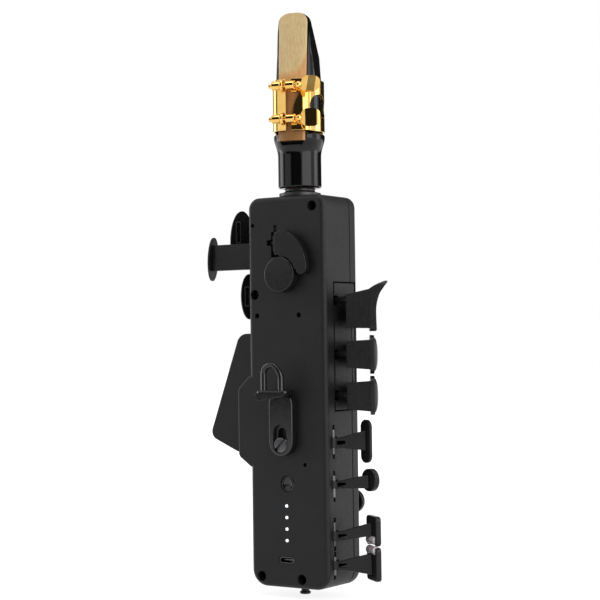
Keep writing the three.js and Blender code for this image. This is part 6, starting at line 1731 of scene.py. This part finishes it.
@dataclass
class MainStack:
    """The main keys on the front, on one long rod."""

    rod_ends: Point = (30.0, 184.0)
    rod_radius: float = 1.1
    bore_radius: float = 1.4
    keys: tuple[tuple[str, float, float, float], ...] = (
        ("main_key_d", 16.0, 41.5, 6.1),
        ("main_key_e", 11.5, 66.0, 6.1),
        ("main_key_f", 9.5, 90.5, 6.1),
        ("main_key_g", 3.5, 124.0, 6.1),
        ("main_key_a", 3.5, 147.0, 6.1),
        ("main_key_bis", 8.0, 159.5, 3.6),
        ("main_key_b", 3.5, 171.5, 6.1),
    )

    def key(self, x: float, z: float, radius: float) -> Shape:
        """One key: a barrel on the rod, an arm and a dished round touch."""
        rod_x, y = CASE.stack_rod
        barrel = Shape.rod((rod_x, y, z - 4.5), (rod_x, y, z + 4.5), 2.2, None, 0.2)
        arm = Shape.box((rod_x, y - 1.1, z - 2.5), (x, y + 1.1, z + 2.5), 0.3)
        inner, rings = radius - 1.1, 10
        dish = [(inner * n / rings, 2.1 + 0.5 * (n / rings) ** 2) for n in range(rings + 1)]
        profile = [*dish, (inner + 0.35, 2.6), (radius - 0.35, 2.5), (radius - 0.1, 2.3),
                   (radius, 2.0), (radius, 0.4), (radius - 0.4, 0), (0, 0)]
        touch = Shape.turned(profile, 64).placed(HEIGHT_ONTO_Y).moved(x, y, z)
        bore = Shape.rod((rod_x, y, z - 9), (rod_x, y, z + 9), self.bore_radius)
        return barrel.join(arm, touch).cut(bore)

    def build(self) -> None:
        """Makes and dresses the main stack."""
        low, high = ((*CASE.stack_rod, z) for z in self.rod_ends)
        rod = Shape.rod(low, high, self.rod_radius, None, 0.15)
        dress(rod, "stack_rod_steel", "stack_rod", Finish.DULL, slot="steel")
        for name, x, z, radius in self.keys:
            dress(self.key(x, z, radius), f"{name}_touch", name, Finish.KEY, f"{name}_body")


@dataclass
class Studio:
    """Camera at the photograph's angle, pale floor, soft lamps and a white surround.

    Cards and lamps are in metres, the rest is in millimetres and degrees.
    """

    film: float = 36.0
    clip: Point = (0.01, 20.0)
    focal_share: float = 1625.7 / 600
    distance: float = 835.0
    azimuth: float = 33.85
    pitch: float = 1.54
    roll: float = -0.766
    aim: Place = (0.0, 0.0, 148.0)
    aim_offset: Point = (2.85 / 1625.7, 4.94 / 1625.7)
    floor_z: float = -5.0
    floor_grey: float = 0.25
    floor_glow: Point = (0.86, 1.1)
    floor_fade: Point = (0.25, 1.0)
    lamps_aim: Place = (0.0, 0.0, 0.03)
    surround_light: float = 0.45
    surround_view: float = 1.0
    cards: tuple[tuple[str, Point, Point, float, float], ...] = (
        ("low_dark_card", (-45, 37.5), (-0.3, 0.115), 1.5, 0.03),
        ("high_dark_card", (-15, 42.5), (0.115, 1.9), 1.5, 0.03),
        ("upper_grey_card", (-15, 42.5), (1.9, 4.2), 1.5, 0.7),
        ("far_dark_card", (148, 205), (0.1, 1.5), 1.2, 0.03),
        ("left_grey_card", (-130, -50), (0.115, 1.9), 1.5, 0.5),
    )
    lamps: tuple[tuple[str, Place, Point, float], ...] = (
        ("right_soft_box", (1.3, -0.4, 0.5), (1.3, 1.4), 11.5),
        ("rim_soft_box", (1.1, 0.86, 0.35), (0.5, 0.9), 3),
        ("left_soft_box", (-1.3, -0.25, 0.5), (0.7, 1.2), 6.5),
        ("top_soft_box", (0.1, -0.45, 1.4), (1.0, 0.5), 4),
        ("front_soft_box", (0.3, 1.4, 0.8), (1.2, 1.2), 8),
    )

    def camera(self) -> None:
        """Sets the camera up."""
        turn, tilt, roll = (math.radians(a) for a in (self.azimuth, self.pitch, self.roll))
        forward = Vector((-math.sin(turn) * math.cos(tilt), math.cos(turn) * math.cos(tilt),
                          math.sin(tilt)))
        right = Vector((math.cos(turn), math.sin(turn), 0))
        up = right.cross(forward)
        right, up = (math.cos(roll) * right + math.sin(roll) * up,
                     -math.sin(roll) * right + math.cos(roll) * up)
        place = (Vector(self.aim) - forward * self.distance
                 - right * self.aim_offset[0] * self.distance
                 - up * self.aim_offset[1] * self.distance)
        data = bpy.data.cameras.new("photo_camera")
        data.sensor_width = self.film
        data.lens = self.film * self.focal_share
        data.clip_start, data.clip_end = self.clip
        camera = bpy.data.objects.new("photo_camera", data)
        basis = Matrix((right, up, -forward)).transposed().to_4x4()
        camera.matrix_world = Matrix.Translation(TO_FRAME @ place) @ basis
        bpy.context.scene.collection.objects.link(camera)
        bpy.context.scene.camera = camera

    def lamp(self, name: str, place: Place, size: Point, watts: float) -> None:
        """A soft rectangular lamp that faces the object.

        Args:
            name: Its name.
            place: Where it stands, in metres on the frame's axes.
            size: Its width and height in metres.
            watts: Its power.
        """
        data = bpy.data.lights.new(name, "AREA")
        data.shape = "RECTANGLE"
        data.size, data.size_y = size
        data.energy = watts
        lamp = bpy.data.objects.new(name, data)
        lamp.location = place
        way = Vector(self.lamps_aim) - Vector(place)
        lamp.rotation_euler = way.to_track_quat("-Z", "Y").to_euler()
        bpy.context.scene.collection.objects.link(lamp)

    def floor(self) -> None:
        """The pale floor that keeps the object's shadow."""
        mesh = bmesh.new()
        bmesh.ops.create_grid(mesh, x_segments=1, y_segments=1, size=6)
        level = (TO_FRAME @ Vector((0, 0, self.floor_z))).z
        bmesh.ops.translate(mesh, vec=(0, 0, level), verts=mesh.verts)
        nodes = self.prop("studio_floor", mesh, self.floor_grey)[1]
        away = nodes.add("VectorMath", nodes.where, 0)
        away.operation = "LENGTH"
        near, far = self.floor_fade
        low, high = self.floor_glow
        glow = nodes.add("MapRange", away.outputs["Value"], "Value", From_Min=near, From_Max=far,
                         To_Min=low, To_Max=high)
        nodes.link(nodes.math("MULTIPLY", glow.outputs["Result"], self.seen(nodes.tree)),
                   "Emission Strength")
        nodes.set(Emission_Color=(1, 1, 1, 1))

    def prop(self, name: str, mesh: bmesh.types.BMesh,
             grey: float) -> tuple[bpy.types.Object, Nodes]:
        """A matt grey piece of the studio, which isn't part of the object.

        Args:
            name: Its name.
            mesh: Its mesh, in metres on the frame's axes.
            grey: Its grey.

        Returns:
            The piece, and its material's nodes.
        """
        data = bpy.data.meshes.new(name)
        mesh.to_mesh(data)
        nodes = Nodes(name)
        nodes.set(Base_Color=(grey, grey, grey, 1), Roughness=1.0, Specular_IOR_Level=0.0)
        data.materials.append(nodes.material)
        piece = bpy.data.objects.new(name, data)
        bpy.context.scene.collection.objects.link(piece)
        return piece, nodes

    def card(self, name: str, sweep: Point, up: Point, away: float, shade: float) -> None:
        """A card that only reflections see, so that glossy black stays black.

        Args:
            name: Its name.
            sweep: Its two ends, in degrees round from behind the object towards its right.
            up: Its two ends on Z.
            away: Distance from the object in metres.
            shade: Its grey.
        """
        mesh = bmesh.new()
        bmesh.ops.create_grid(mesh, x_segments=1, y_segments=1, size=0.5)
        half = math.radians(sweep[1] - sweep[0]) / 2
        size = Matrix.Diagonal((2 * away * math.tan(half), up[1] - up[0], 1, 1))
        stand = Matrix.Rotation(math.pi / 2, 4, "X")
        move = Matrix.Translation((0, -away, sum(up) / 2))
        turn = about_z(sum(sweep) / 2)
        bmesh.ops.transform(mesh, matrix=turn @ move @ stand @ size, verts=mesh.verts)
        card = self.prop(name, mesh, shade)[0]
        card.visible_camera = False
        card.visible_shadow = False
        card.visible_diffuse = False

    def seen(self, tree: bpy.types.NodeTree) -> bpy.types.NodeSocket:
        """One for rays from the camera and through or off shiny surfaces, otherwise zero."""
        path = tree.nodes.new("ShaderNodeLightPath")
        seen = path.outputs["Is Camera Ray"]
        for kind in ("Is Glossy Ray", "Is Transmission Ray"):
            either = tree.nodes.new("ShaderNodeMath")
            either.operation = "MAXIMUM"
            tree.links.new(seen, either.inputs[0])
            tree.links.new(path.outputs[kind], either.inputs[1])
            seen = either.outputs[0]
        return seen

    def world(self) -> None:
        """A white surround to look at, and a plain grey one to be lit by."""
        world = bpy.data.worlds.new("studio")
        bpy.context.scene.world = world
        world.use_nodes = True
        tree = world.node_tree
        tree.nodes.clear()
        mix = tree.nodes.new("ShaderNodeMixShader")
        tree.links.new(self.seen(tree), mix.inputs["Fac"])
        for place, strength in ((1, self.surround_light), (2, self.surround_view)):
            white = tree.nodes.new("ShaderNodeBackground")
            white.inputs["Color"].default_value = (1, 1, 1, 1)
            white.inputs["Strength"].default_value = strength
            tree.links.new(white.outputs[0], mix.inputs[place])
        out = tree.nodes.new("ShaderNodeOutputWorld")
        tree.links.new(mix.outputs[0], out.inputs["Surface"])

    def build(self) -> None:
        """Sets the whole studio up."""
        bpy.context.scene.view_settings.view_transform = "Standard"
        self.camera()
        self.floor()
        self.world()
        for card in self.cards:
            self.card(*card)
        for lamp in self.lamps:
            self.lamp(*lamp)


def main() -> None:
    """Builds the studio and every sub-assembly."""
    logging.basicConfig(level=logging.INFO)
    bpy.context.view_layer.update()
    Studio().build()
    for assembly in (Casing(), Mouthpiece(), ThumbSide(), BlockKeys(), LowerKeys(), Table(),
                     MainStack()):
        LOG.info("building %s", type(assembly).__name__)
        assembly.build()


if __name__ == "__main__":
    main()
